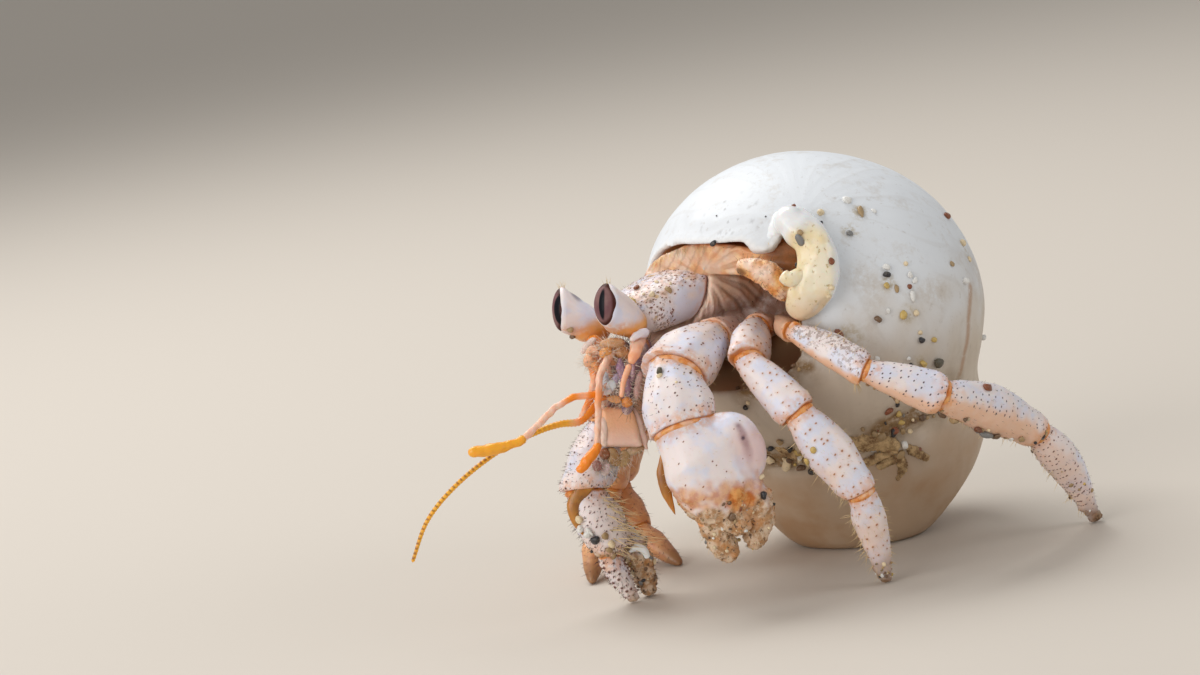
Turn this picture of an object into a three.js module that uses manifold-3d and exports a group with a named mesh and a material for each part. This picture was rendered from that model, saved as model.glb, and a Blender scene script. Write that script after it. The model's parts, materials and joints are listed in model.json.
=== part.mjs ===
// Land hermit crab walking in its snail shell, at life size.
//
// Millimetres, +Z up, floor at z = 0. The crab walks towards -X, turned YAW towards -Y, so its left side
// faces -Y. Every plate, eye, feeler and claw is a mesh of its own. Neighbouring plates are parted by a
// thin cut across each joint, so nothing overlaps.

import * as THREE from 'three'
import { mergeVertices } from 'three/addons/utils/BufferGeometryUtils.js'
import Module from 'manifold-3d'

const wasm = await Module()
wasm.setup()

const at = (x, y, z) => new THREE.Vector3(x, y, z)
const degrees = THREE.MathUtils.degToRad
const mix = THREE.MathUtils.lerp

// ---------------------------------------------------------------- driving dimensions

const GAP = 0.24 // clear space across each joint and round each piece that another rests on
const SLIVER = 0.05 // detail smaller than this is left out of a carved face
const FEELER = 0.3 // half thickness of the thinnest feeler
const CORNERS = 10 // sides of a limb plate
const YAW = degrees(35) // heading, from -X towards -Y
const PITCH = degrees(12) // nose-down lean of the head shield
const ORIGIN = at(-2.54, 4.52, 0) // point of the floor that becomes the part's origin

const SHIELD = {
  front: at(-11.2, 1.2, 25.2), // middle of the front edge, on the upper face
  length: 8.2,
  frontWidth: 5.0,
  rearWidth: 7.6,
  depth: 4.6,
}

const SHELL = {
  apex: at(8.2, 16.9, -0.6),
  backTilt: 0.556, // lean of the axis, apex away from -Y
  sideTilt: 0.091,
  mouthTurn: -0.361, // angle about the axis where the last whorl ends
  radius: 9.4, // axis to the middle of the whorl's section, at the mouth
  halfWidth: 4.7, // of that section
  rise: 16.0, // apex to the middle of that section, along the axis
  halfHeight: 10.7,
  squareness: 2.15,
  lean: -0.058, // turn of the section in its own plane
  growth: 1.3, // size ratio from one whorl to the next
  whorls: 3.2,
  corners: 16,
}
// The bulge of the last whorl, which flares towards the lip of the mouth.
const GLOBE = { centre: at(6.15, 7.9, 19.9), radius: 13.85, flare: 1.9, towardsLip: at(-0.86, -0.1, 0.5) }
const COLUMELLA = [
  at(4.4, -3.6, 30.5),
  at(5.1, -5.2, 29.0),
  at(5.5, -6.2, 26.6),
  at(4.7, -6.4, 24.4),
  at(3.2, -5.9, 22.9),
]
const MOUTH = {
  path: [at(-12.8, -5.2, 22.0), at(-3.6, 0.1, 22.6), at(2.9, 3.9, 22.8)],
  recess: [at(2.4, -7.0, 27.6), at(2.9, -3.0, 28.4), at(3.4, 1.5, 28.6)],
  halfWidth: 9.7,
  halfHeight: 6.1,
  overrun: 0.35, // how far the last whorl runs on over the crab's back, in radians
}

// ---------------------------------------------------------------- solids

function solidOf(geometry) {
  const bare = geometry.clone()
  bare.deleteAttribute('normal')
  bare.deleteAttribute('uv')
  const merged = mergeVertices(bare, 1e-5)
  const vertProperties = new Float32Array(merged.attributes.position.array)
  const triVerts = new Uint32Array(merged.index.array)
  return new wasm.Manifold(new wasm.Mesh({ numProp: 3, vertProperties, triVerts }))
}

function geometryOf(solid) {
  const { vertProperties, triVerts } = solid.getMesh()
  const geometry = new THREE.BufferGeometry()
  geometry.setAttribute('position', new THREE.BufferAttribute(vertProperties, 3))
  geometry.setIndex(new THREE.BufferAttribute(triVerts, 1))
  return geometry
}

// A skin over rings of points, each ring turning the same way, closed by a point at either end.
function loft(rings, startTip, endTip) {
  const corners = rings[0].length
  const points = [startTip, ...rings.flat(), endTip]
  const last = points.length - 1
  const faces = []
  for (let k = 0; k < corners; k++) {
    const next = (k + 1) % corners
    faces.push(0, 1 + next, 1 + k)
    faces.push(last, last - corners + k, last - corners + next)
    for (let r = 0; r < rings.length - 1; r++) {
      const low = 1 + r * corners
      const high = low + corners
      faces.push(low + k, low + next, high + next, low + k, high + next, high + k)
    }
  }
  const geometry = new THREE.BufferGeometry().setFromPoints(points)
  geometry.setIndex(faces)
  const solid = solidOf(geometry)
  if (solid.volume() > 0) return solid
  geometry.setIndex(faces.reverse())
  return solidOf(geometry)
}

// The same solid with its skin moved out by a distance.
function grown(solid, distance) {
  const geometry = geometryOf(solid)
  geometry.computeVertexNormals()
  const { position, normal } = geometry.attributes
  for (let i = 0; i < position.count; i++) {
    position.setXYZ(
      i,
      position.getX(i) + normal.getX(i) * distance,
      position.getY(i) + normal.getY(i) * distance,
      position.getZ(i) + normal.getZ(i) * distance
    )
  }
  return solidOf(geometry)
}

function largest(solid) {
  return solid.decompose().reduce((best, piece) => (piece.volume() > best.volume() ? piece : best))
}

// Keeps what lies on the far side of a plane, in the direction of its normal.
function keepBeyond(solid, point, direction, clearance = GAP / 2) {
  const normal = direction.clone().normalize()
  return solid.trimByPlane(normal.toArray(), point.dot(normal) + clearance)
}

const standing = (solid) => solid.trimByPlane([0, 0, 1], 0)

// One oval ring: side and up are unit vectors, and squareness over 2 fills the corners.
function oval(centre, side, up, halfSide, halfUp, corners = CORNERS, squareness = 2) {
  const ring = []
  const power = 2 / squareness
  for (let k = 0; k < corners; k++) {
    const turn = (2 * Math.PI * k) / corners
    const c = Math.cos(turn)
    const s = Math.sin(turn)
    const across = Math.sign(c) * Math.abs(c) ** power * halfSide
    const along = Math.sign(s) * Math.abs(s) ** power * halfUp
    ring.push(centre.clone().addScaledVector(side, across).addScaledVector(up, along))
  }
  return ring
}

// A tapering body swept along a path. Stations are [place 0..1, half width, half height], and the width
// is measured along the side vector. Round ends close over a dome, flat ones are cut square.
function sweep({ path, stations, side, rings = 4, corners = CORNERS, squareness = 2, round = [1, 1] }) {
  const curve = path.length > 2 ? new THREE.CatmullRomCurve3(path) : new THREE.LineCurve3(...path)
  const girth = new THREE.CatmullRomCurve3(stations.map((s) => at(...s)), false, 'centripetal')
  const spots = girth.getPoints(rings)
  const length = curve.getLength()
  const frame = (place) => {
    const u = THREE.MathUtils.clamp(place, 0, 1)
    const forward = curve.getTangentAt(u)
    const centre = curve.getPointAt(u).addScaledVector(forward, (place - u) * length)
    const across = side.clone().addScaledVector(forward, -side.dot(forward)).normalize()
    return { centre, forward, across, up: forward.clone().cross(across) }
  }
  const dome = (spot, sign, dome) => {
    const { centre, forward, across, up } = frame(spot.x)
    const reach = Math.min(spot.y, spot.z) * 0.8 * dome
    const edge = (angle) => {
      const middle = centre.clone().addScaledVector(forward, sign * reach * Math.sin(angle))
      const shrink = Math.cos(angle)
      return oval(middle, across, up, spot.y * shrink, spot.z * shrink, corners, squareness)
    }
    const tip = centre.clone().addScaledVector(forward, sign * reach)
    return { tip, edges: dome ? [edge(degrees(50))] : [] }
  }
  const body = spots.map((spot) => {
    const { centre, across, up } = frame(spot.x)
    return oval(centre, across, up, spot.y, spot.z, corners, squareness)
  })
  const start = dome(spots[0], -1, round[0])
  const end = dome(spots[spots.length - 1], 1, round[1])
  return loft([...start.edges.reverse(), ...body, ...end.edges], start.tip, end.tip)
}

// ---------------------------------------------------------------- limbs

// A chain of plates between joint points. Each plate runs past its joints and is then cut back along the
// plane that halves the bend, so neighbours face each other across a thin slit.
function limb({ joints, plates, side, rootCut }) {
  const heading = joints.slice(1).map((joint, i) => joint.clone().sub(joints[i]).normalize())
  return plates.map((plate, i) => {
    const first = i === 0
    const last = i === plates.length - 1
    const length = joints[i].distanceTo(joints[i + 1])
    const overrun = (bend, girth) => (girth * Math.tan(bend / 2) + 0.4) / length
    const before = first ? 0 : overrun(heading[i - 1].angleTo(heading[i]), plate.girth[0][1])
    const after = last ? 0 : overrun(heading[i].angleTo(heading[i + 1]), plate.girth.at(-1)[1])
    const bow = plate.bow ?? at(0, 0, 0)
    const middle = joints[i].clone().lerp(joints[i + 1], 0.5).add(bow)
    const [startGirth, endGirth] = [plate.girth[0], plate.girth.at(-1)]
    const stations = [...plate.girth]
    if (before) stations.unshift([-before, startGirth[1], startGirth[2]])
    if (after) stations.push([1 + after, endGirth[1], endGirth[2]])
    let solid = sweep({
      path: [joints[i], middle, joints[i + 1]],
      stations,
      side: plate.side ?? side,
      rings: plate.rings ?? 4,
      corners: plate.corners ?? CORNERS,
      squareness: plate.squareness ?? 2.2,
      round: [first && !rootCut ? 1 : 0, last ? 1 : 0],
    })
    if (first && rootCut) solid = keepBeyond(solid, joints[0], rootCut, 0)
    if (!first) solid = keepBeyond(solid, joints[i], heading[i - 1].clone().add(heading[i]))
    if (!last) solid = keepBeyond(solid, joints[i + 1], heading[i].clone().add(heading[i + 1]).negate())
    return { name: plate.name, solid: plate.grounded ? standing(solid) : solid, skin: plate.skin }
  })
}

// ---------------------------------------------------------------- the crab's own directions

const forward = at(-Math.cos(YAW) * Math.cos(PITCH), -Math.sin(YAW) * Math.cos(PITCH), -Math.sin(PITCH))
const left = at(Math.sin(YAW), -Math.cos(YAW), 0)
const up = forward.clone().cross(left)

// A point of the body, measured back from the middle of the shield's front edge.
function onBody(back, toLeft, above) {
  const point = SHIELD.front.clone().addScaledVector(forward, -back)
  return point.addScaledVector(left, toLeft).addScaledVector(up, above)
}

// ---------------------------------------------------------------- shell

const shellAxis = at(
  -Math.sin(SHELL.sideTilt),
  -Math.sin(SHELL.backTilt) * Math.cos(SHELL.sideTilt),
  Math.cos(SHELL.backTilt) * Math.cos(SHELL.sideTilt)
)
const shellAside = shellAxis.clone().cross(at(0, 1, 0)).normalize()
const shellAhead = shellAxis.clone().cross(shellAside)

// A point of the coiled tube: turn is 0 at the mouth and negative further back, and around goes from the
// outermost line of the tube towards its base.
function onWhorl(turn, around, shrink = 0) {
  const size = SHELL.growth ** (turn / (2 * Math.PI))
  const wide = SHELL.halfWidth * size - shrink
  const high = SHELL.halfHeight * size - shrink
  const power = 2 / SHELL.squareness
  const x = wide * Math.sign(Math.cos(around)) * Math.abs(Math.cos(around)) ** power
  const y = high * Math.sign(Math.sin(around)) * Math.abs(Math.sin(around)) ** power
  const out = SHELL.radius * size + x * Math.cos(SHELL.lean) - y * Math.sin(SHELL.lean)
  const along = SHELL.rise * size + x * Math.sin(SHELL.lean) + y * Math.cos(SHELL.lean)
  const angle = SHELL.mouthTurn + turn
  return SHELL.apex
    .clone()
    .addScaledVector(shellAside, out * Math.cos(angle))
    .addScaledVector(shellAhead, out * Math.sin(angle))
    .addScaledVector(shellAxis, along)
}

// A stretch of the coiled tube between two turns.
function whorl(from, to, steps) {
  const rings = []
  for (let i = 0; i <= steps; i++) {
    const ring = []
    for (let k = 0; k < SHELL.corners; k++) {
      ring.push(onWhorl(mix(from, to, i / steps), (2 * Math.PI * k) / SHELL.corners))
    }
    rings.push(ring)
  }
  const middle = (ring) => ring.reduce((sum, p) => sum.add(p), at(0, 0, 0)).divideScalar(ring.length)
  return loft(rings, middle(rings[0]), middle(rings[steps]))
}

function globe() {
  const ball = new THREE.SphereGeometry(GLOBE.radius, 26, 17)
  const { position } = ball.attributes
  for (let i = 0; i < position.count; i++) {
    const out = at(0, 0, 0).fromBufferAttribute(position, i).normalize()
    const flare = GLOBE.flare * Math.max(0, out.dot(GLOBE.towardsLip)) ** 2
    position.setXYZ(i, ...out.multiplyScalar(GLOBE.radius + flare).add(GLOBE.centre).toArray())
  }
  return solidOf(ball)
}

// Whorls from the apex to the mouth, the globe they wind round and the hollow that the crab lives in.
function shellBody() {
  const start = -2 * Math.PI * SHELL.whorls
  const stretches = Math.ceil(SHELL.whorls * 2)
  let body = globe().add(pillar())
  for (let i = 0; i < stretches; i++) {
    const from = mix(start, 0, i / stretches)
    const to = mix(start, 0, (i + 1) / stretches) + (i === stretches - 1 ? MOUTH.overrun : 0)
    body = body.add(whorl(from - 0.03, to, i < stretches - 3 ? 4 : 5))
  }
  const hollow = sweep({
    path: MOUTH.path,
    stations: [[0, MOUTH.halfWidth, MOUTH.halfHeight], [1, MOUTH.halfWidth * 0.85, MOUTH.halfHeight]],
    side: left,
    rings: 5,
    corners: 22,
    squareness: 3.2,
  })
  return largest(standing(body.subtract(hollow).subtract(cavity()))).simplify(SLIVER)
}

// The dark recess between the lip and the columella.
function cavity() {
  return sweep({
    path: MOUTH.recess,
    stations: [[0, 1.5, 2.6], [1, 1.2, 2.2]],
    side: at(1, 0, 0),
    corners: 12,
  })
}

// The solid core that the whorls wind round.
function pillar() {
  const taper = (SHELL.radius - SHELL.halfWidth + 0.6) / SHELL.rise
  const rings = [0.1, 0.5, 1].map((share) => {
    const centre = SHELL.apex.clone().addScaledVector(shellAxis, SHELL.rise * share)
    return oval(centre, shellAside, shellAhead, taper * SHELL.rise * share, taper * SHELL.rise * share, 16)
  })
  const top = SHELL.apex.clone().addScaledVector(shellAxis, SHELL.rise * 1.05)
  return loft(rings, SHELL.apex, top)
}

// The thick end of the core, turned out beside the mouth like a curled lip.
function columella() {
  return sweep({
    path: COLUMELLA,
    stations: [[0, 0.7, 0.9], [0.3, 1.2, 1.5], [0.65, 1.4, 1.9], [1, 0.9, 1.3]],
    side: at(0, -1, 0),
    rings: 8,
    corners: 12,
  })
}

// ---------------------------------------------------------------- materials

const skin = {
  shell: { color: 0xe8e6e2, roughness: 0.42 },
  pearl: { color: 0xf2e6c4, roughness: 0.3 },
  plate: { color: 0xe9dcd6, roughness: 0.48 },
  flesh: { color: 0xd9a987, roughness: 0.55 },
  orange: { color: 0xe0832e, roughness: 0.4 },
  eye: { color: 0x3c2a33, roughness: 0.12 },
  dark: { color: 0x8a6f72, roughness: 0.6 },
}

// ---------------------------------------------------------------- poses and girths

const GROOVE_LEAN = degrees(35) // the groove behind the shield runs forward as it goes down

const ABDOMEN = [onBody(12.4, -0.4, -4.6), onBody(15, -0.6, -6), onBody(17.5, -1.6, -8.5)]

// Each eye: mark, base of the stalk, middle of the cornea's edge, direction of its width.
const EYES = [
  ['L', at(-11.0, 0.7, 22.9), at(-12.3, -2.2, 25.3), at(0.9, -0.45, 0)],
  ['R', at(-12.7, 3.9, 22.3), at(-15.8, 2.2, 24.8), at(0.35, -0.94, 0)],
]

const plate = (name, girth, more = {}) => ({ name, girth, skin: skin.plate, ...more })

const MAJOR = {
  side: at(0.9, 0.45, 0),
  joints: [
    at(-2.3, 2.4, 20.6),
    at(-3.8, -0.8, 20.9),
    at(-7.6, -6.6, 19.6),
    at(-7.6, -9.3, 15.3),
    at(-5.0, -11.2, 8.9),
  ],
  plates: [
    plate('claw_major_ischium', [[0, 1.6, 1.6], [1, 1.8, 1.8]]),
    plate('claw_major_merus', [[0, 1.8, 1.8], [0.4, 2.5, 2.3], [0.8, 2.9, 2.7], [1, 2.7, 2.4]]),
    plate('claw_major_carpus', [[0, 2.3, 2.2], [0.4, 2.9, 2.7], [0.8, 3.0, 2.8], [1, 2.8, 2.5]]),
    plate(
      'claw_major_palm',
      [[0, 2.6, 2.3], [0.25, 3.9, 2.8], [0.6, 4.2, 2.9], [0.85, 3.6, 2.5], [1, 3.0, 2.0]],
      { corners: 18, bow: at(0.5, -0.2, 0.3) }
    ),
  ],
}

const MINOR = {
  side: at(0.8, 0.5, 0),
  joints: [
    at(-7.4, 5.4, 18.4),
    at(-9.1, 3.7, 16.9),
    at(-13.8, 0.3, 14.5),
    at(-16.4, -1.8, 10.0),
    at(-14.7, -2.3, 5.4),
  ],
  plates: [
    plate('claw_minor_ischium', [[0, 1.2, 1.2], [1, 1.4, 1.4]]),
    plate('claw_minor_merus', [[0, 1.5, 1.4], [0.5, 2.1, 1.8], [1, 2.1, 1.9]]),
    plate('claw_minor_carpus', [[0, 1.7, 1.6], [0.5, 2.1, 1.9], [1, 1.9, 1.8]]),
    plate('claw_minor_palm', [[0, 1.5, 1.5], [0.4, 2.1, 1.8], [1, 1.7, 1.5]], { corners: 16 }),
  ],
}

// Two fingers side by side on the end of a claw. The outer one is fixed to the palm, the other is hinged.
function fingers(name, palm, hinged, fixed, girth, side) {
  const finger = (path) => sweep({ path, stations: girth, side, rings: 5, corners: 10, squareness: 2.4 })
  return { name, palm, hinged: finger(hinged), fixed: finger(fixed) }
}

const FINGERS = [
  fingers(
    'claw_major_finger',
    'claw_major_palm',
    [at(-6.4, -11.0, 10.0), at(-6.0, -11.4, 7.2), at(-5.5, -11.5, 5.0)],
    [at(-3.4, -10.7, 10.0), at(-2.7, -10.8, 7.5), at(-3.2, -11.1, 5.6)],
    [[0, 1.7, 1.7], [0.5, 1.45, 1.35], [1, 0.75, 0.7]],
    at(1, 0, 0)
  ),
  fingers(
    'claw_minor_finger',
    'claw_minor_palm',
    [at(-15.6, -2.5, 6.2), at(-14.8, -2.6, 3.3), at(-13.6, -2.1, 0.4)],
    [at(-13.7, -1.2, 5.6), at(-12.6, -0.8, 3.0), at(-12.3, -0.6, 0.3)],
    [[0, 1.15, 1.1], [0.5, 1.0, 0.95], [1, 0.5, 0.5]],
    at(0.9, 0.4, 0)
  ),
]

// A walking leg: five plates between its root, four joints and the tip of the foot.
function walkingLeg(name, joints, side, size) {
  const girth = (...list) => list.map(([t, a, b]) => [t, a * size, b * size])
  return {
    side,
    joints,
    plates: [
      plate(`${name}_ischium`, girth([0, 1.1, 1.1], [1, 1.25, 1.3]), { rings: 3 }),
      plate(`${name}_merus`, girth([0, 1.15, 1.3], [0.5, 1.35, 1.75], [1, 1.3, 1.65])),
      plate(`${name}_carpus`, girth([0, 1.1, 1.25], [0.5, 1.3, 1.6], [0.85, 1.4, 1.8], [1, 1.3, 1.7])),
      plate(`${name}_propodus`, girth([0, 1.15, 1.45], [0.3, 1.4, 1.9], [0.7, 1.3, 1.75], [1, 1.1, 1.4])),
      plate(`${name}_dactyl`, girth([0, 1.05, 1.3], [0.3, 1.15, 1.4], [0.75, 0.8, 0.9], [1, 0.45, 0.5]), {
        grounded: true,
      }),
    ],
  }
}

const LEGS = [
  walkingLeg(
    'leg_front_L',
    [
      at(1.0, 2.6, 20.8),
      at(0.0, -1.0, 21.2),
      at(-1.5, -6.0, 19.6),
      at(1.9, -9.4, 15.1),
      at(5.9, -10.7, 8.1),
      at(7.0, -9.1, 0.3),
    ],
    at(0.2, -1, 0),
    1
  ),
  walkingLeg(
    'leg_back_L',
    [
      at(1.9, 0.8, 21.0),
      at(2.5, -6.2, 21.3),
      at(7.7, -10.4, 17.9),
      at(13.4, -10.7, 15.0),
      at(21.5, -4.4, 9.5),
      at(25.9, 0.5, 0.3),
    ],
    at(0.3, -1, 0),
    1
  ),
  walkingLeg(
    'leg_front_R',
    [
      at(-6.5, 4.5, 17.3),
      at(-8.8, 6.5, 16.4),
      at(-12.3, 11.0, 11.5),
      at(-14.2, 12.0, 7.2),
      at(-16.2, 10.6, 3.0),
      at(-17.0, 6.8, 0.3),
    ],
    at(-0.7, 0.7, 0),
    0.92
  ),
  walkingLeg(
    'leg_back_R',
    [
      at(-5.5, 5.0, 16.4),
      at(-8.5, 8.2, 14.9),
      at(-11.0, 14.0, 11.2),
      at(-13.8, 15.6, 6.8),
      at(-12.2, 12.6, 2.7),
      at(-9.2, 8.6, 0.25),
    ],
    at(-0.5, 0.85, 0),
    0.92
  ),
]

const stalk = (name, look, path, stations, more = {}) => ({
  name,
  look,
  path,
  stations,
  side: at(0, -1, 0),
  corners: 6,
  rings: 3,
  ...more,
})

const FOURTH_LEG = [[0, 0.9, 1.0], [0.5, 1.0, 1.1], [1, 0.6, 0.7]] // the short leg held against the lip
const PALP = [[0, 0.9, 0.9], [0.5, 1.1, 0.9], [1, 0.5, 0.5]]
const CLUB = [[0, 0.4, 0.4], [0.5, 0.46, 0.5], [1, 0.34, 0.38]]

const FEELERS = [
  stalk(
    'leg_four_L',
    skin.orange,
    [at(2.6, -3.9, 24.4), at(1.2, -4.4, 26.2), at(-0.6, -3.6, 26.9)],
    FOURTH_LEG,
    { corners: 10, rings: 4 }
  ),
  stalk(
    'leg_four_R',
    skin.orange,
    [at(-9.4, 6.2, 20.9), at(-10.3, 7.5, 22.4), at(-9.8, 8.7, 24.3)],
    FOURTH_LEG,
    { corners: 10, rings: 4 }
  ),
  stalk('maxilliped_L', skin.dark, [at(-9.6, 0.3, 21.0), at(-11.0, -1.4, 18.8), at(-11.8, -2.3, 16.2)], PALP),
  stalk('maxilliped_R', skin.dark, [at(-11.4, 2.2, 20.9), at(-12.8, 0.6, 18.8), at(-13.2, -0.4, 16.6)], PALP),
  stalk(
    'antennule_base_L',
    skin.flesh,
    [at(-12.3, -2.1, 21.2), at(-13.6, -3.6, 19.6), at(-14.0, -4.4, 17.4), at(-14.6, -6.1, 14.6)],
    [[0, 0.55, 0.5], [0.3, 0.4, 0.42], [1, 0.36, 0.4]],
    { rings: 6 }
  ),
  stalk('antennule_tip_L', skin.orange, [at(-14.65, -6.4, 14.3), at(-16.3, -7.2, 12.9)], CLUB),
  stalk(
    'antennule_base_R',
    skin.flesh,
    [
      at(-12.9, 1.4, 20.6),
      at(-12.9, -2.0, 18.6),
      at(-13.7, -3.2, 18.2),
      at(-16.4, -3.7, 18.3),
      at(-20.4, -5.3, 15.9),
    ],
    [[0, 0.5, 0.5], [0.4, 0.36, 0.4], [1, 0.34, 0.38]],
    { rings: 9 }
  ),
  stalk(
    'antennule_tip_R',
    skin.orange,
    [at(-20.8, -5.5, 15.7), at(-22.6, -5.9, 15.5), at(-24.8, -6.3, 15.6)],
    CLUB,
    { rings: 5 }
  ),
  stalk(
    'antenna_base_R',
    skin.flesh,
    [at(-13.5, 1.2, 21.8), at(-13.7, 0.2, 20.4), at(-14.3, -1.3, 18.2), at(-15.5, -2.2, 16.3)],
    [[0, 0.9, 0.8], [0.3, 0.75, 0.7], [0.5, 0.4, 0.4], [1, 0.36, 0.36]],
    { rings: 6 }
  ),
  stalk(
    'antenna_scale_R',
    skin.plate,
    [at(-13.6, 0.4, 22.1), at(-14.6, -0.6, 21.5)],
    [[0, 0.5, 0.4], [0.5, 0.5, 0.4], [1, 0.28, 0.28]]
  ),
  stalk(
    'antenna_whip_R',
    skin.orange,
    [
      at(-15.9, -2.4, 16.0),
      at(-17.4, -2.7, 16.1),
      at(-19.3, -3.2, 16.0),
      at(-22.7, -4.0, 14.9),
      at(-26.4, -4.7, 12.9),
      at(-29.3, -5.3, 10.4),
      at(-31.2, -5.8, 7.2),
    ],
    [[0, FEELER, FEELER], [1, FEELER, FEELER]],
    { rings: 16 }
  ),
  stalk(
    'antenna_base_L',
    skin.flesh,
    [at(-9.9, -2.0, 22.1), at(-10.2, -4.0, 21.5), at(-10.7, -4.7, 20.8)],
    [[0, 0.7, 0.7], [0.6, 0.6, 0.6], [1, 0.45, 0.45]]
  ),
  stalk(
    'antenna_scale_L',
    skin.plate,
    [at(-9.3, -2.7, 22.6), at(-10.4, -4.0, 22.4)],
    [[0, 0.6, 0.45], [0.6, 0.55, 0.42], [1, 0.3, 0.3]]
  ),
  stalk(
    'antenna_whip_L',
    skin.flesh,
    [at(-10.9, -4.9, 20.5), at(-11.6, -5.4, 19.3), at(-12.1, -5.9, 18.0)],
    [[0, FEELER, FEELER], [1, FEELER, FEELER]],
    { rings: 4 }
  ),
]

// ---------------------------------------------------------------- pieces, in order of who makes room

const pieces = []
const add = (name, solid, look) => pieces.push({ name, solid, skin: look })
const addAll = (list) => list.forEach((piece) => pieces.push(piece))

add('shell', shellBody(), skin.shell)
add('shell_columella', columella(), skin.pearl)

// Head shield and the softer carapace behind it, parted by the groove.
const grooveAt = onBody(SHIELD.length, 0, 0)
const grooveFacing = forward
  .clone()
  .multiplyScalar(Math.cos(GROOVE_LEAN))
  .addScaledVector(up, Math.sin(GROOVE_LEAN))
const shieldBlock = sweep({
  path: [onBody(0.4, 0, -0.42 * SHIELD.depth), onBody(SHIELD.length + 2, 0, -SHIELD.depth / 2)],
  stations: [
    [0, SHIELD.frontWidth / 2, 0.36 * SHIELD.depth],
    [0.2, 0.43 * SHIELD.rearWidth, 0.45 * SHIELD.depth],
    [0.55, 0.48 * SHIELD.rearWidth, 0.5 * SHIELD.depth],
    [1, 0.5 * SHIELD.rearWidth, 0.52 * SHIELD.depth],
  ],
  side: left,
  corners: 18,
  squareness: 2.5,
  round: [1, 0],
})
add('carapace_shield', keepBeyond(shieldBlock, grooveAt, grooveFacing), skin.plate)

const rearBlock = sweep({
  path: [onBody(3, 0, -2.5), onBody(8.5, 0, -2.5), onBody(13.5, -0.6, -4)],
  stations: [[0, 3.4, 2.3], [0.4, 3.9, 2.6], [0.75, 4.1, 3.1], [1, 3.8, 3.1]],
  side: left,
  corners: 18,
  squareness: 2.3,
  round: [0, 0],
})
add('carapace_rear', keepBeyond(rearBlock, grooveAt, grooveFacing.clone().negate()), skin.flesh)

// Eyes: flattened stalks that widen to a tall cornea.
for (const [mark, base, end, across] of EYES) {
  const axis = end.clone().sub(base).normalize()
  const stalk = sweep({
    path: [base, end],
    stations: [[0, 0.75, 0.8], [0.35, 1.0, 1.2], [0.8, 1.05, 1.72], [1.2, 0.95, 1.8]],
    side: across,
    corners: 14,
    round: [1, 0],
  })
  const cornea = sweep({
    path: [end.clone().addScaledVector(axis, -0.5), end.clone().addScaledVector(axis, 0.25)],
    stations: [[0, 0.98, 1.78], [0.7, 0.98, 1.78], [1, 0.88, 1.66]],
    side: across,
    corners: 14,
    rings: 3,
    round: [0, 1],
  })
  add(`eyestalk_${mark}`, keepBeyond(stalk, end, axis.clone().negate(), 0.05), skin.plate)
  add(`eye_${mark}`, keepBeyond(cornea, end, axis, 0.05), skin.eye)
}

// Claws and walking legs.
for (const spec of [MAJOR, MINOR, ...LEGS]) addAll(limb(spec))

for (const { name, palm, hinged, fixed } of FINGERS) {
  const hand = pieces.find((piece) => piece.name === palm)
  hand.solid = standing(hand.solid.add(fixed))
  add(name, standing(hinged), skin.plate)
}

// The underside that the limbs spring from, and the soft body inside the shell.
add(
  'thorax',
  sweep({
    path: [onBody(2.2, 0, -6), onBody(6.5, 0, -6.4), onBody(12.5, -0.4, -7.4)],
    stations: [[0, 2.3, 1.5], [0.3, 2.9, 1.9], [0.8, 3.4, 2.2], [1, 2.8, 1.9]],
    side: left,
    corners: 14,
  }),
  skin.dark
)
add(
  'abdomen',
  sweep({
    path: ABDOMEN,
    stations: [[0, 4.0, 4.0], [0.5, 4.2, 4.2], [1, 3, 3]],
    side: left,
    corners: 14,
  }),
  skin.flesh
)

// Feelers and mouthparts.
for (const { name, look, ...shape } of FEELERS) add(name, sweep(shape), look)

// ---------------------------------------------------------------- later pieces make room for earlier ones

const touching = (a, b) => {
  const [p, q] = [a.boundingBox(), b.boundingBox()]
  return [0, 1, 2].every((i) => p.min[i] < q.max[i] && q.min[i] < p.max[i])
}
for (let i = 1; i < pieces.length; i++) {
  for (let j = 0; j < i; j++) {
    if (!touching(pieces[i].solid, pieces[j].solid)) continue
    if (pieces[i].solid.intersect(pieces[j].solid).volume() < 1e-6) continue
    pieces[i].solid = largest(pieces[i].solid.subtract(grown(pieces[j].solid, GAP)))
  }
  pieces[i].solid = largest(pieces[i].solid.simplify(SLIVER))
}

// ---------------------------------------------------------------- the model

const crab = new THREE.Group()
crab.position.copy(ORIGIN).negate()
for (const { name, solid, skin: look } of pieces) {
  const mesh = new THREE.Mesh(geometryOf(solid), new THREE.MeshStandardMaterial(look))
  mesh.name = name
  crab.add(mesh)
}

export default crab
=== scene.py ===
"""Land hermit crab walking in a bleached snail shell, dressed over its CAD frame.

Laid out as an add-on: sizes and colours are scene properties, each group of pieces has an operator,
and a panel lists the operators. Run as a script it makes every piece in turn.
Lengths are millimetres until a mesh is written, x right, y away, z up from the floor.
"""

import json
import math

import bmesh
import bpy
import numpy as np
from mathutils import Matrix, Vector, noise
from mathutils.bvhtree import BVHTree
from mathutils.kdtree import KDTree

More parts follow.
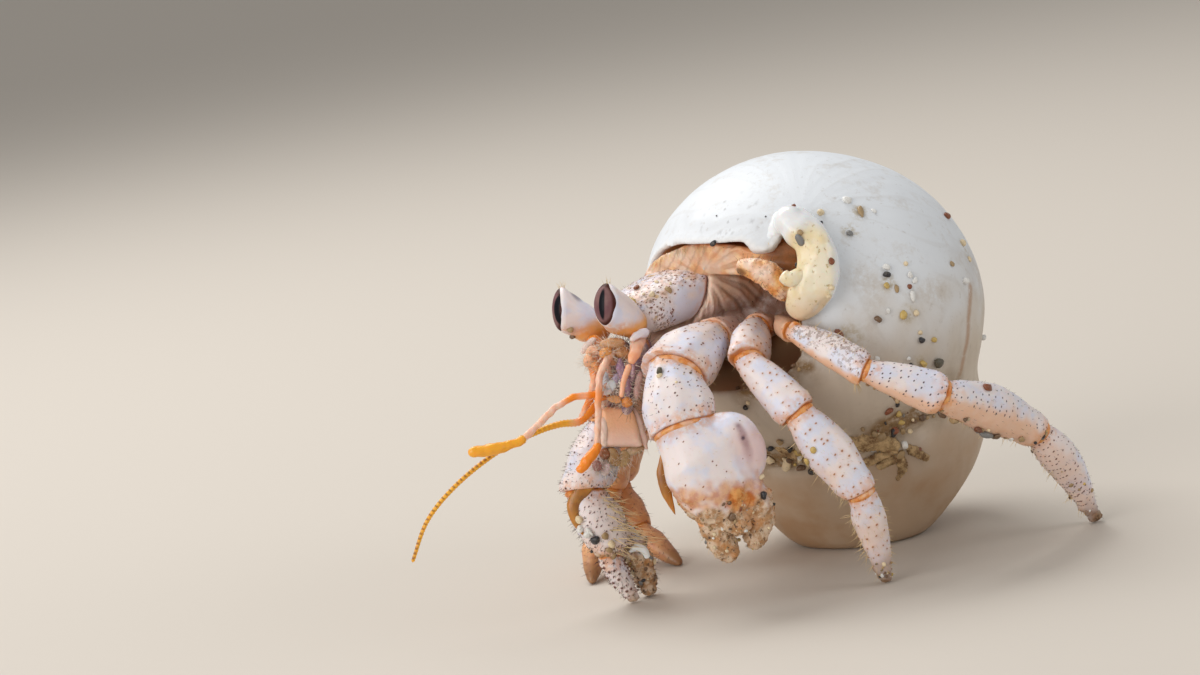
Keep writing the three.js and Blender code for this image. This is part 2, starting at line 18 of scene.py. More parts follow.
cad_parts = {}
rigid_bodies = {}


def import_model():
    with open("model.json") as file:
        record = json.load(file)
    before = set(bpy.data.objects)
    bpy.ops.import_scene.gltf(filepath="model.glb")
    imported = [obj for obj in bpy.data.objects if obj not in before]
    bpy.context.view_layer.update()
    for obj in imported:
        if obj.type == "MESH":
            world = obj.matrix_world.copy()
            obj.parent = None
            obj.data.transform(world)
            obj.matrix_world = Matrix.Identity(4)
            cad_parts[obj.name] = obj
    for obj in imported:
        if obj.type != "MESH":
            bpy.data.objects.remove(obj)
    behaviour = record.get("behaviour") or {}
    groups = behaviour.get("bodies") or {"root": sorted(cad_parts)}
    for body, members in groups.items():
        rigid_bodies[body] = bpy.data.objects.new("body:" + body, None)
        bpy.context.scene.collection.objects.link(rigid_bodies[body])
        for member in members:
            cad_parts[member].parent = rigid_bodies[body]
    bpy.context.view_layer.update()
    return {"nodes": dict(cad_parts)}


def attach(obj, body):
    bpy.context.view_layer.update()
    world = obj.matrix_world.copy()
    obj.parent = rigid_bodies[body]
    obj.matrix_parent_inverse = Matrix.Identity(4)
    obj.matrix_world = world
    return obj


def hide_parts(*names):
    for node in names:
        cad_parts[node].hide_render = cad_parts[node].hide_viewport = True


bl_info = {
    "name": "Hermit crab looks",
    "version": (1, 0, 0),
    "blender": (4, 5, 0),
    "location": "View3D > Sidebar > Hermit crab",
    "description": "Shell, cuticle, eyes, feelers, bristles and sand of a walking hermit crab",
    "category": "Object",
}

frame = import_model()
MM = 0.001

LIMBS = {
    "claw_major": ("ischium", "merus", "carpus", "palm", "finger"),
    "claw_minor": ("ischium", "merus", "carpus", "palm", "finger"),
    "leg_front_L": ("ischium", "merus", "carpus", "propodus", "dactyl"),
    "leg_back_L": ("ischium", "merus", "carpus", "propodus", "dactyl"),
    "leg_front_R": ("ischium", "merus", "carpus", "propodus", "dactyl"),
    "leg_back_R": ("ischium", "merus", "carpus", "propodus", "dactyl"),
}
GLOBE_MIDDLE = np.array([8.7, 3.4, 19.9])
GLOBE_RADIUS = 13.85
GLOBE_FLARE = 1.9
TOWARDS_LIP = np.array([-0.86, -0.1, 0.5])
SHELL_AXIS = np.array([-0.091, -0.526, 0.846])
SHELL_APEX = np.array([10.7, 12.4, -0.6])
SPIRE_TIP = np.array([10.5, 11.2, 1.4])
SHIELD_CORNER = np.array([-0.6, -3.6, 26.0])  # where the groove meets the shield's rear corner
HEADING = np.array([-0.80, -0.56, -0.21])
ACROSS = Vector((0.988, -0.024, -0.155))  # the three directions in which the eyes are laid out
UPRIGHT = Vector((0.156, 0.155, 0.976))
AWAY = Vector((0.0, 0.988, -0.156))
VIEW_TILT = math.radians(9)
VIEW_ROLL = math.radians(-9)
VIEW_WIDTH = 1200  # pixels
VIEW_HEIGHT = 675
LENS = 100  # focal length and sensor width, in millimetres
SENSOR = 36
CAMERA_SPOT = np.array([-10.46, -278.88, 65.79])
SIGHT_RANGE = (200.0, 330.0)  # how far from the camera the shell is looked for
SIGHT_STEP = 0.05

# Sand grains stuck to the shell: place, width, length and kind. A place of two numbers is in the view
# at its standard tilt and roll, in pixels from its top left corner. One of three numbers is a point in
# millimetres.
SHELL_GRAINS = (
    ((846.8, 201.4), 0.80, 1.25, "white"),
    ((860.8, 212.0), 0.75, 1.25, "tan"),
    ((13.5, -5.5, 29.3), 0.42, 0.50, "white"),
    ((849.5, 233.6), 0.60, 0.90, "grey"),
    ((886.3, 267.7), 0.75, 0.92, "white"),
    ((13.5, -8.7, 24.4), 0.75, 0.83, "dark"),
    ((905.0, 263.7), 0.50, 0.58, "cream"),
    ((909.7, 274.4), 0.58, 0.75, "white"),
    ((915.0, 280.4), 0.50, 0.92, "white"),
    ((912.4, 296.5), 0.67, 1.08, "white"),
    ((887.0, 285.8), 0.60, 0.70, "yellow"),
    ((896.3, 288.5), 0.42, 1.00, "tan"),
    ((909.0, 286.5), 0.45, 0.60, "rust"),
    ((13.2, -9.6, 21.6), 0.42, 0.75, "white"),
    ((903.7, 315.2), 0.70, 1.10, "yellow"),
    ((916.1, 312.3), 0.58, 0.75, "cream"),
    ((877.3, 319.3), 0.75, 0.85, "brown"),
    ((920.0, 333.0), 0.50, 0.58, "cream"),
    ((15.6, -8.5, 18.6), 0.67, 0.75, "dark"),
    ((933.8, 340.0), 0.67, 0.67, "yellow"),
    ((937.2, 362.1), 1.08, 1.25, "olive"),
    ((922.4, 362.8), 0.75, 0.75, "yellow"),
    ((14.4, -8.7, 16.5), 0.75, 0.92, "dark"),
    ((923.0, 369.0), 0.50, 0.58, "cream"),
    ((908.4, 358.8), 0.50, 0.58, "white"),
    ((838.7, 334.7), 0.80, 1.00, "rust"),
    ((876.9, 358.8), 0.50, 0.67, "white"),
    ((945.9, 216.2), 0.75, 0.83, "rust"),
    ((20.9, -0.9, 24.9), 0.75, 0.92, "cream"),
    ((951.9, 264.4), 0.58, 0.67, "tan"),
    ((21.3, -1.2, 23.5), 0.50, 0.75, "cream"),
    ((964.6, 280.4), 0.75, 0.92, "white"),
    ((22.1, 1.2, 16.2), 0.67, 0.67, "white"),
    ((889.0, 411.0), 0.75, 0.83, "rust"),
    ((899.0, 413.0), 0.58, 0.75, "yellow"),
    ((914.0, 418.0), 0.58, 0.67, "brown"),
    ((-0.1, -5.4, 28.4), 0.50, 0.60, "dark"),
    ((821.0, 213.0), 0.75, 0.83, "cream"),
    ((820.7, 224.0), 0.50, 0.67, "dark"),
    ((828.0, 345.0), 0.58, 0.75, "dark"),
    ((9.2, -10.4, 19.7), 0.67, 0.75, "brown"),
    ((717.0, 216.0), 0.17, 0.25, "dark"),
    ((4.6, -6.0, 30.4), 0.17, 0.25, "dark"),
    ((2.2, -3.7, 9.9), 1.00, 1.10, "cream"),
    ((3.5, -4.3, 9.3), 0.90, 1.40, "cream"),
    ((4.5, -5.7, 10.4), 0.75, 0.85, "yellow"),
    ((3.8, -5.6, 10.7), 0.65, 0.75, "dark"),
    ((2.2, -4.8, 10.8), 0.70, 0.80, "dark"),
    ((4.5, -4.8, 8.8), 0.90, 1.00, "brown"),
    ((5.3, -5.2, 8.4), 0.70, 0.80, "dark"),
    ((3.0, -6.1, 11.6), 0.80, 1.00, "tan"),
    ((12.4, -7.1, 10.9), 0.70, 0.80, "dark"),
    ((13.3, -6.6, 9.6), 0.85, 0.95, "white"),
    ((12.8, -6.3, 8.8), 0.80, 0.85, "tan"),
    ((14.4, -5.7, 8.8), 0.70, 0.80, "rust"),
    ((13.9, -6.4, 10.6), 0.60, 0.70, "cream"),
)
LIP_GRAINS = (
    ((9.0, -11.8, 26.7), 0.60, 0.85, "rust"),
    ((8.7, -11.9, 24.6), 0.58, 0.75, "cream"),
    ((8.4, -11.8, 23.9), 0.50, 0.65, "cream"),
    ((6.8, -10.8, 28.7), 0.75, 1.00, "grey"),
    ((6.9, -10.7, 29.3), 0.55, 0.65, "tan"),
    ((6.7, -8.7, 30.9), 0.40, 0.50, "rust"),
    ((4.69, -7.85, 27.8), 0.55, 1.00, "cream"),
    ((6.28, -10.65, 26.67), 0.40, 0.50, "dark"),
)
GRAIN_COLOURS = {
    "white": (0.80, 0.80, 0.78),
    "cream": (0.78, 0.64, 0.42),
    "yellow": (0.60, 0.42, 0.12),
    "tan": (0.40, 0.27, 0.13),
    "rust": (0.22, 0.055, 0.015),
    "brown": (0.16, 0.085, 0.04),
    "olive": (0.075, 0.065, 0.04),
    "grey": (0.20, 0.20, 0.20),
    "dark": (0.016, 0.016, 0.022),
}
# Dirt ridge and strands caught along the seam below the last whorl.
DIRT_RIDGE = ((8.6, -7.2, 10.9), (9.5, -7.0, 10.7), (10.6, -6.9, 10.4), (11.7, -6.8, 10.2), (12.8, -6.6, 9.6))
DIRT_STRANDS = (
    ((9.1, -6.4, 8.4), (10.3, -6.5, 8.7), (11.2, -6.3, 9.0), (12.6, -6.3, 9.2)),
    ((10.8, -6.2, 8.0), (11.8, -6.2, 8.4), (12.9, -6.1, 8.6)),
    ((12.6, -6.3, 8.8), (12.9, -5.6, 7.6), (12.3, -5.1, 6.5)),
    ((9.3, -7.0, 10.2), (10.6, -6.8, 9.9), (12.0, -6.6, 9.4)),
    ((13.4, -6.4, 9.4), (14.2, -5.8, 8.7), (15.2, -4.9, 7.8)),
    ((2.6, -5.0, 10.9), (3.9, -5.2, 10.2), (5.3, -5.4, 9.6), (6.9, -5.8, 9.4)),
)
# Patch of shell wall that carries the outer lip up to the inner one: rows from the edge inwards.
LIP_WALL = (
    ((2.5, -7.2, 28.1), (3.4, -7.7, 27.8), (4.2, -7.9, 27.8), (4.8, -7.9, 28.2), (5.3, -7.9, 28.9)),
    ((2.6, -6.8, 28.9), (3.5, -7.1, 28.8), (4.3, -7.2, 29.0), (5.1, -7.2, 29.3), (5.8, -7.4, 29.6)),
    ((3.0, -6.3, 29.7), (3.9, -6.3, 29.9), (4.8, -6.3, 30.1), (5.6, -6.4, 30.3), (6.4, -6.6, 30.4)),
    ((3.2, -5.6, 30.4), (4.2, -5.5, 30.7), (5.2, -5.4, 31.0), (6.3, -5.5, 31.1), (7.5, -5.6, 31.0)),
)
WHIP_ROUTE_R = (
    (-11.6, -6.2, 17.2),
    (-12.3, -6.6, 16.6),
    (-13.3, -6.9, 16.0),
    (-14.9, -7.2, 16.1),
    (-16.9, -7.7, 15.84),
    (-20.2, -8.5, 14.9),
    (-23.9, -9.2, 12.9),
    (-26.8, -9.8, 10.4),
    (-28.6, -10.3, 7.2),
)
WHIP_ROUTE_L = ((-8.4, -9.4, 20.5), (-9.1, -9.9, 19.3), (-9.5, -10.4, 18.1))
TOOTH_ROUTE = (
    (7.07, -10.41, 26.84),
    (6.79, -10.83, 26.28),
    (6.11, -11.3, 25.87),
    (5.42, -11.49, 25.76),
    (4.89, -11.41, 26.25),
)
LEAF_ROUTE = ((-6.9, -15.0, 14.0), (-7.2, -15.2, 12.2), (-7.1, -15.3, 10.6), (-6.7, -15.4, 8.8))
MEMBRANE_ROUTE = (
    (-12.8, -7.6, 10.8),
    (-14.0, -7.7, 10.2),
    (-14.7, -7.7, 9.2),
    (-14.7, -7.9, 7.9),
    (-14.3, -8.1, 6.6),
)
FRAGMENT_ROUTE = ((-10.9, -7.2, 4.6), (-10.2, -7.1, 4.75), (-9.6, -7.1, 4.4), (-9.4, -7.1, 3.7))

# ---------------------------------------------------------------- settings


def colour(name, note, value):
    return bpy.props.FloatVectorProperty(
        name=name, description=note, default=value, subtype="COLOR", size=3, min=0.0, max=1.0
    )


def length(name, note, value):
    """A length in metres, given in millimetres."""
    return bpy.props.FloatProperty(
        name=name, description=note, default=value * MM, min=0.0, subtype="DISTANCE", unit="LENGTH"
    )


class ShellSettings(bpy.types.PropertyGroup):
    cell: length("Mesh size", "Length of the shell mesh's edges", 0.30)
    dent: length("Dents", "Depth of the shell's shallow dents", 0.10)
    # White and Grey: the change from bluish white on top to warm grey lower down is partly weathering, partly
    # painted shade towards the bottom.
    white: colour("White", "Bleached upper shell", (0.755, 0.79, 0.835))
    grey: colour("Grey", "Weathered lower shell", (0.57, 0.49, 0.395))
    # Spire: tan first whorls, made browner towards the floor partly as painted shade.
    spire: colour("Spire", "Tan-brown first whorls", (0.42, 0.24, 0.115))
    grime: colour("Grime", "Dirt along the seam", (0.17, 0.10, 0.05))
    inside: colour("Inside", "Wall of the mouth", (0.58, 0.24, 0.07))
    porcelain: colour("Porcelain", "Glossy inner lip", (0.86, 0.71, 0.43))


class CuticleSettings(bpy.types.PropertyGroup):
    cell: length("Mesh size", "Length of the plates' edges", 0.125)
    pale: colour("Pale", "Pinkish white cuticle", (0.835, 0.75, 0.745))
    cool: colour("Cool", "Bluish patches of the cuticle", (0.71, 0.73, 0.86))
    warm: colour("Warm", "Peach underside of the limbs", (0.80, 0.49, 0.32))
    joint: colour("Joint", "Soft skin between the plates", (0.56, 0.17, 0.015))
    spot: colour("Spot", "Tubercles", (0.16, 0.045, 0.02))
    crust: colour("Crust", "Fine dried sand", (0.42, 0.225, 0.10))
    flesh: colour("Flesh", "Soft pleated body", (0.90, 0.64, 0.50))


class EyeSettings(bpy.types.PropertyGroup):
    cornea: colour("Cornea", "Violet grey of the eye", (0.17, 0.075, 0.085))
    rim: colour("Rim", "Brown edge of the eye", (0.06, 0.014, 0.010))
    slit: colour("Slit", "Dark stripe of the eye", (0.003, 0.003, 0.007))


class FeelerSettings(bpy.types.PropertyGroup):
    gold: colour("Gold", "Pale bands of the whip", (0.92, 0.46, 0.02))
    rust: colour("Rust", "Dark bands of the whip", (0.23, 0.07, 0.006))
    orange: colour("Orange", "Clubs and joints of the feelers", (0.93, 0.27, 0.008))
    pink: colour("Pink", "Stalks of the feelers", (0.88, 0.50, 0.33))
    bristle: colour("Bristle", "Golden hairs", (0.92, 0.70, 0.38))
    dark_bristle: colour("Dark bristle", "Brown hairs", (0.09, 0.045, 0.025))


class StageSettings(bpy.types.PropertyGroup):
    floor: colour("Floor", "Pale floor", (0.62, 0.57, 0.51))
    sky: colour("Sky", "Light from all round", (1.0, 0.98, 0.95))
    tilt: bpy.props.FloatProperty(
        name="Camera tilt",
        description="How far the camera looks down",
        default=VIEW_TILT,
        subtype="ANGLE",
    )
    roll: bpy.props.FloatProperty(
        name="Camera roll", description="Turn of the picture", default=VIEW_ROLL, subtype="ANGLE"
    )


# ---------------------------------------------------------------- small helpers


def deselect():
    if bpy.context.mode != "OBJECT":
        bpy.ops.object.mode_set(mode="OBJECT")
    bpy.ops.object.select_all(action="DESELECT")


def pick(*pieces):
    deselect()
    for piece in pieces:
        piece.select_set(True)
    bpy.context.view_layer.objects.active = pieces[0]


def joined(pieces, name):
    pick(*pieces)
    if len(pieces) > 1:
        bpy.ops.object.join()
    bpy.ops.object.transform_apply(location=True, rotation=True, scale=True)
    piece = bpy.context.object
    piece.name = name
    return piece


def copied(name, *nodes):
    """One new object with copies of these CAD nodes' meshes, doubles merged."""
    twins = []
    for node in nodes:
        twin = bpy.data.objects.new(name, frame["nodes"][node].data.copy())
        bpy.context.scene.collection.objects.link(twin)
        twin.data.materials.clear()
        twins.append(twin)
    piece = joined(twins, name)
    bpy.ops.object.mode_set(mode="EDIT")
    bpy.ops.mesh.select_all(action="SELECT")
    bpy.ops.mesh.remove_doubles(threshold=1e-6)
    bpy.ops.object.mode_set(mode="OBJECT")
    return piece


def modified(piece, kind, **settings):
    pick(piece)
    modifier = piece.modifiers.new(kind.title(), kind)
    for name, value in settings.items():
        setattr(modifier, name, value)
    bpy.ops.object.modifier_apply(modifier=modifier.name)


def remeshed(piece, cell):
    """Fuses a piece into one even mesh and drops the small bubbles that this can leave."""
    modified(piece, "REMESH", mode="VOXEL", voxel_size=cell)
    points = points_of(piece)
    pick(piece)
    bpy.ops.object.mode_set(mode="EDIT")
    bpy.ops.mesh.select_all(action="DESELECT")
    bpy.ops.object.mode_set(mode="OBJECT")
    piece.data.vertices[int(np.argmax(np.linalg.norm(points - points.mean(0), axis=1)))].select = True
    bpy.ops.object.mode_set(mode="EDIT")
    bpy.ops.mesh.select_linked()
    bpy.ops.mesh.select_all(action="INVERT")
    bpy.ops.mesh.delete(type="VERT")
    bpy.ops.object.mode_set(mode="OBJECT")


def points_of(piece):
    """The mesh's points in millimetres."""
    flat = np.empty(len(piece.data.vertices) * 3)
    piece.data.vertices.foreach_get("co", flat)
    return flat.reshape(-1, 3) / MM


def normals_of(piece):
    flat = np.empty(len(piece.data.vertices) * 3)
    piece.data.vertex_normals.foreach_get("vector", flat)
    return flat.reshape(-1, 3)


def move_points(piece, points):
    piece.data.vertices.foreach_set("co", (points * MM).ravel())
    piece.data.update()


def push(piece, heights):
    """Moves each point along its normal, in millimetres."""
    move_points(piece, points_of(piece) + normals_of(piece) * heights[:, None])


def paint(piece, name, values):
    mask = piece.data.attributes.get(name) or piece.data.attributes.new(name, "FLOAT", "POINT")
    mask.data.foreach_set("value", np.asarray(values, dtype=np.float32))


def ease(low, high, values):
    """0 below low and 1 above high, smooth between; low may be the larger."""
    t = np.clip((values - low) / (high - low), 0, 1)
    return t * t * (3 - 2 * t)


def clouds(points, size):
    """Smooth noise between about -1 and 1, with lumps of that size."""
    return np.array([noise.noise(Vector(p)) for p in points / size])


def surface_tree(*nodes):
    """A search tree over CAD nodes, in millimetres."""
    corners, faces = [], []
    for node in nodes:
        mesh = frame["nodes"][node].data
        base = len(corners)
        corners += [v.co / MM for v in mesh.vertices]
        faces += [[base + i for i in p.vertices] for p in mesh.polygons]
    return BVHTree.FromPolygons(corners, faces)


def piece_tree(piece):
    corners = [Vector(p) for p in points_of(piece)]
    return BVHTree.FromPolygons(corners, [tuple(p.vertices) for p in piece.data.polygons])


def distances(points, tree, reach=3.0):
    """How far each point is from a surface, up to reach."""
    found = (tree.find_nearest(Vector(p), reach)[3] for p in points)
    return np.array([reach if far is None else far for far in found])


def relax(piece, rounds, stiff=None):
    """Smooths a mesh. Points with a stiffness of 1 stay where they are."""
    if stiff is None:
        modified(piece, "SMOOTH", factor=0.5, iterations=rounds)
        return
    group = piece.vertex_groups.new(name="free")
    for i, hold in enumerate(stiff):
        group.add([i], 1 - float(hold), "REPLACE")
    modified(piece, "SMOOTH", factor=0.5, iterations=rounds, vertex_group="free")
    piece.vertex_groups.clear()


def spread(points, spacing, keep, seed):
    """Indices of points about that far apart, among those that keep marks."""
    rng = np.random.default_rng(seed)
    order = rng.permutation(np.flatnonzero(keep))
    if not len(order):
        return order
    cells = np.floor(points[order] / spacing + rng.random(3)).astype(int)
    _, first = np.unique(cells, axis=0, return_index=True)
    return order[first]


def swellings(points, seeds, radius):
    """For each point, how much of a round swelling it is on: 1 at a seed, 0 at radius away."""
    tree = KDTree(len(points))
    for i, p in enumerate(points):
        tree.insert(p, i)
    tree.balance()
    amount = np.zeros(len(points))
    for seed, reach in zip(seeds, radius):
        for _, i, far in tree.find_range(points[seed], reach):
            amount[i] = max(amount[i], (1 - (far / reach) ** 2) ** 2)
    return amount


def finish(piece, material, slot, *replaced):
    """Last steps of each piece: shading, material, body and the CAD nodes it stands for. The slot is not
    used.
    """
    pick(piece)
    bpy.ops.object.shade_smooth()
    piece.data.materials.clear()
    piece.data.materials.append(material)
    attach(piece, "root")
    if replaced:
        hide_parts(*replaced)


# ---------------------------------------------------------------- shader expressions


class Value:
    """A shader value in a Python expression: each operator adds the Math node that works it out."""

    def __init__(self, shades, socket):
        self.shades = shades
        self.socket = socket

    def math(self, operation, *terms):
        return self.shades.add("Math", {"operation": operation}, *terms)

    def __add__(self, other):
        return self.math("ADD", self, other)

    def __sub__(self, other):
        return self.math("SUBTRACT", self, other)

    def __rsub__(self, other):
        return self.math("SUBTRACT", other, self)

    def __mul__(self, other):
        return self.math("MULTIPLY", self, other)

    __radd__ = __add__
    __rmul__ = __mul__

    def between(self, low, high):
        """0 at low and 1 at high, smooth between."""
        settings = {"interpolation_type": "SMOOTHSTEP"}
        return self.shades.add("MapRange", settings, Value=self, From_Min=low, From_Max=high)


class Shades:
    """The nodes of one material round its Principled BSDF."""

    def __init__(self, name, **fixed):
        self.material = bpy.data.materials.new(name)
        self.material.use_nodes = True
        self.tree = self.material.node_tree
        self.surface = self.tree.nodes["Principled BSDF"]
        for socket, value in fixed.items():
            self.surface.inputs[socket.replace("_", " ")].default_value = value
        place = self.add("TexCoord", {}, output="Object")
        self.mm = self.add("VectorMath", {"operation": "SCALE"}, place, Scale=1 / MM)

    def feed(self, socket, term):
        if isinstance(term, Value):
            self.tree.links.new(term.socket, socket)
        elif hasattr(term, "__len__") and len(term) == 3 and len(socket.default_value) == 4:
            socket.default_value = (*term, 1.0)
        else:
            socket.default_value = term

    def add(self, kind, settings, *terms, output=0, **named):
        node = self.tree.nodes.new("ShaderNode" + kind)
        for key, value in settings.items():
            setattr(node, key, value)
        for index, term in enumerate(terms):
            self.feed(node.inputs[index], term)
        for key, term in named.items():
            self.feed(node.inputs[key.replace("_", " ")], term)
        return Value(self, node.outputs[output])

    def mask(self, name):
        return self.add("Attribute", {"attribute_name": name}, output="Fac")

    def tint(self, name):
        return self.add("Attribute", {"attribute_name": name}, output="Color")

    def grain(self, per_mm, detail=3.0, rough=0.55):
        return self.add("TexNoise", {}, Vector=self.mm, Scale=per_mm, Detail=detail, Roughness=rough)

    def cells(self, per_mm, output="Distance"):
        return self.add("TexVoronoi", {}, Vector=self.mm, Scale=per_mm, output=output)

    def mix(self, factor, first, second):
        node = self.tree.nodes.new("ShaderNodeMix")
        node.data_type = "RGBA"
        self.feed(node.inputs[0], factor)
        self.feed(node.inputs[6], first)
        self.feed(node.inputs[7], second)
        return Value(self, node.outputs[2])

    def bump(self, height, depth, strength=1.0):
        """Relief of that depth in millimetres."""
        return self.add("Bump", {}, Strength=strength, Distance=depth * MM, Height=height)

    def done(self, **linked):
        for socket, term in linked.items():
            self.feed(self.surface.inputs[socket.replace("_", " ")], term)
        return self.material


def scene_settings(name):
    return getattr(bpy.context.scene, "crab_" + name)


def once(build):
    """Keeps the material that a function builds, so that all pieces share it."""
    made = []

    def give():
        if not made:
            made.append(build())
        return made[0]

    return give


@once
def bleached_shell():
    looks = scene_settings("shell")
    s = Shades("bleached_shell", Coat_Roughness=0.3)
    spire, dirt, inside = s.mask("spire"), s.mask("dirt"), s.mask("inside")
    patches = s.grain(0.12, 4.0, 0.6)
    specks = s.grain(1.6, 5.0, 0.7)
    fine = s.grain(6.0, 3.0)
    # Warm grey towards the bottom: partly weathering, partly painted shade.
    weathering_and_shade = (s.mask("low") + patches.between(0.42, 0.75) * 0.3 - 0.1).between(0.0, 1.0)
    base = s.mix(weathering_and_shade, tuple(looks.white), tuple(looks.grey))
    base = s.mix(patches.between(0.50, 0.75) * 0.45, base, (0.52, 0.54, 0.58))
    base = s.mix(s.grain(0.45, 4.0, 0.7).between(0.52, 0.70) * 0.28, base, (0.50, 0.43, 0.35))
    base = s.mix(s.mask("cloudy") * specks.between(0.3, 0.6) * 0.45, base, (0.50, 0.42, 0.33))
    base = s.mix(specks.between(0.58, 0.74) * 0.35, base, (0.38, 0.33, 0.28))
    base = s.mix(s.mask("growth").between(0.75, 0.95) * 0.10, base, (0.40, 0.34, 0.27))
    # Tan spire, browner towards the floor: its own colour, partly deepened as painted shade.
    spiral = s.mix(patches.between(0.35, 0.65), tuple(looks.spire), (0.52, 0.38, 0.26))
    base = s.mix(spire * (0.75 + patches * 0.35), base, spiral)
    base = s.mix(s.mask("stripe") * specks.between(0.25, 0.50) * 0.8, base, (0.42, 0.25, 0.15))
    # Stains; the one below the lip is partly painted shade.
    base = s.mix(s.mask("stain") * specks.between(0.40, 0.62) * 0.65, base, (0.42, 0.33, 0.18))
    base = s.mix(s.mask("scratch") * 0.55, base, (0.22, 0.21, 0.22))
    base = s.mix(dirt * specks.between(0.20, 0.55), base, s.mix(fine, tuple(looks.grime), (0.34, 0.22, 0.10)))
    lining = s.mix(specks.between(0.3, 0.7), tuple(looks.inside), (0.62, 0.27, 0.07))
    # Lower inside of the mouth greyer brown: painted shade.
    lining = s.mix(s.mask("deep"), lining, (0.40, 0.26, 0.15))
    base = s.mix(inside, base, lining)
    base = s.mix(s.mask("edge"), base, (0.82, 0.83, 0.84))
    relief = specks * 0.5 + fine * 0.35 + s.mask("growth") * 0.4
    return s.done(
        Base_Color=base,
        Roughness=0.46 + specks * 0.20 + dirt * 0.4 + spire * 0.10,
        Coat_Weight=(1 - dirt) * (1 - spire) * 0.07,
        Normal=s.bump(relief, 0.05, 0.5),
    )


@once
def porcelain():
    looks = scene_settings("shell")
    s = Shades("porcelain_lip", Coat_Weight=0.35, Coat_Roughness=0.18, Subsurface_Weight=0.12)
    s.surface.inputs["Subsurface Scale"].default_value = 0.8 * MM
    rim = s.mask("rim")
    cream = s.grain(0.45, 3.0)
    base = s.mix(cream.between(0.38, 0.66), tuple(looks.porcelain), (0.90, 0.83, 0.66))
    base = s.mix(s.mask("tan") * 0.8, base, (0.74, 0.55, 0.38))
    base = s.mix(rim, base, (0.84, 0.86, 0.88))
    pits = s.grain(2.4, 3.0).between(0.60, 0.68) * (1 - rim)
    base = s.mix(pits * 0.75, base, (0.46, 0.33, 0.12))
    relief = cream + (1 - pits) * 0.6
    return s.done(Base_Color=base, Roughness=0.22 + pits * 0.4, Normal=s.bump(relief, 0.06, 0.6))


@once
def cuticle():
    looks = scene_settings("cuticle")
    s = Shades("cuticle", Coat_Weight=0.18, Coat_Roughness=0.25, Subsurface_Weight=0.06)
    s.surface.inputs["Subsurface Scale"].default_value = 0.5 * MM
    spots, joint, crust = s.mask("spots"), s.mask("joint"), s.mask("crust")
    patches = s.grain(0.42, 3.0)
    fine = s.grain(5.0, 4.0, 0.6)
    mid = s.grain(1.7, 4.0, 0.65)
    base = s.mix(patches.between(0.42, 0.62), tuple(looks.pale), tuple(looks.cool))
    base = s.mix(mid.between(0.55, 0.78) * 0.30, base, (0.80, 0.55, 0.42))
    base = s.mix((s.mask("warm") * (0.75 + mid * 0.5)).between(0.0, 1.0), base, tuple(looks.warm))
    base = s.mix(s.mask("tinge") * mid.between(0.35, 0.60), base, (0.74, 0.33, 0.13))
    specks = s.grain(2.6, 4.0, 0.7)
    base = s.mix(s.mask("speckle") * specks.between(0.50, 0.58), base, (0.16, 0.075, 0.035))
    base = s.mix(s.mask("speckle") * s.grain(1.1, 3.0).between(0.60, 0.68), base, (0.62, 0.36, 0.06))
    base = s.mix(s.mask("halo") * 0.45, base, (0.76, 0.42, 0.24))
    base = s.mix(s.mask("orange") * (0.5 + mid * 0.5), base, (0.92, 0.42, 0.06))
    base = s.mix((joint * (0.75 + fine * 0.5)).between(0.0, 1.0), base, tuple(looks.joint))
    spot_tone = s.mix(s.mask("ink"), tuple(looks.spot), (0.035, 0.03, 0.05))
    spot_tone = s.mix(s.mask("fox"), spot_tone, (0.44, 0.19, 0.07))
    base = s.mix(spots.between(0.10, 0.60), base, spot_tone)
    sand_tones = s.mix(s.grain(1.5, 4.0, 0.7).between(0.40, 0.60), tuple(looks.crust), (0.66, 0.50, 0.36))
    sand_tones = s.mix(s.grain(0.5, 3.0).between(0.52, 0.66) * 0.7, sand_tones, (0.52, 0.22, 0.06))
    sand_tones = s.mix(specks.between(0.57, 0.62), sand_tones, (0.13, 0.07, 0.035))
    base = s.mix(crust * fine.between(0.10, 0.35), base, sand_tones)
    base = s.mix(s.mask("rusty"), base, s.mix(mid.between(0.4, 0.6), (0.54, 0.15, 0.015), (0.70, 0.32, 0.09)))
    # Pink-tan over the big palm's right lobe: partly its own tint, partly painted shade.
    base = s.mix(s.mask("blush") * (0.5 + patches), base, (0.74, 0.50, 0.46))
    base = s.mix(s.mask("horn") * 0.85, base, (0.16, 0.08, 0.03))
    # Violet streak down the big palm beside its ridge: partly a dark mark, partly painted shadow.
    base = s.mix(s.mask("violet") * (0.4 + mid * 0.6), base, (0.30, 0.15, 0.16))
    # Near-black: dark marks on the big palm and an eyestalk, and painted shade in the shield's rear groove.
    base = s.mix(s.mask("bruise"), base, (0.07, 0.03, 0.055))
    relief = fine * 0.35 + mid * 0.5 + crust * s.grain(4.0, 3.0)
    return s.done(
        Base_Color=base,
        Roughness=0.30 + fine * 0.18 + crust * 0.4,
        Normal=s.bump(relief, 0.05, 0.7),
    )


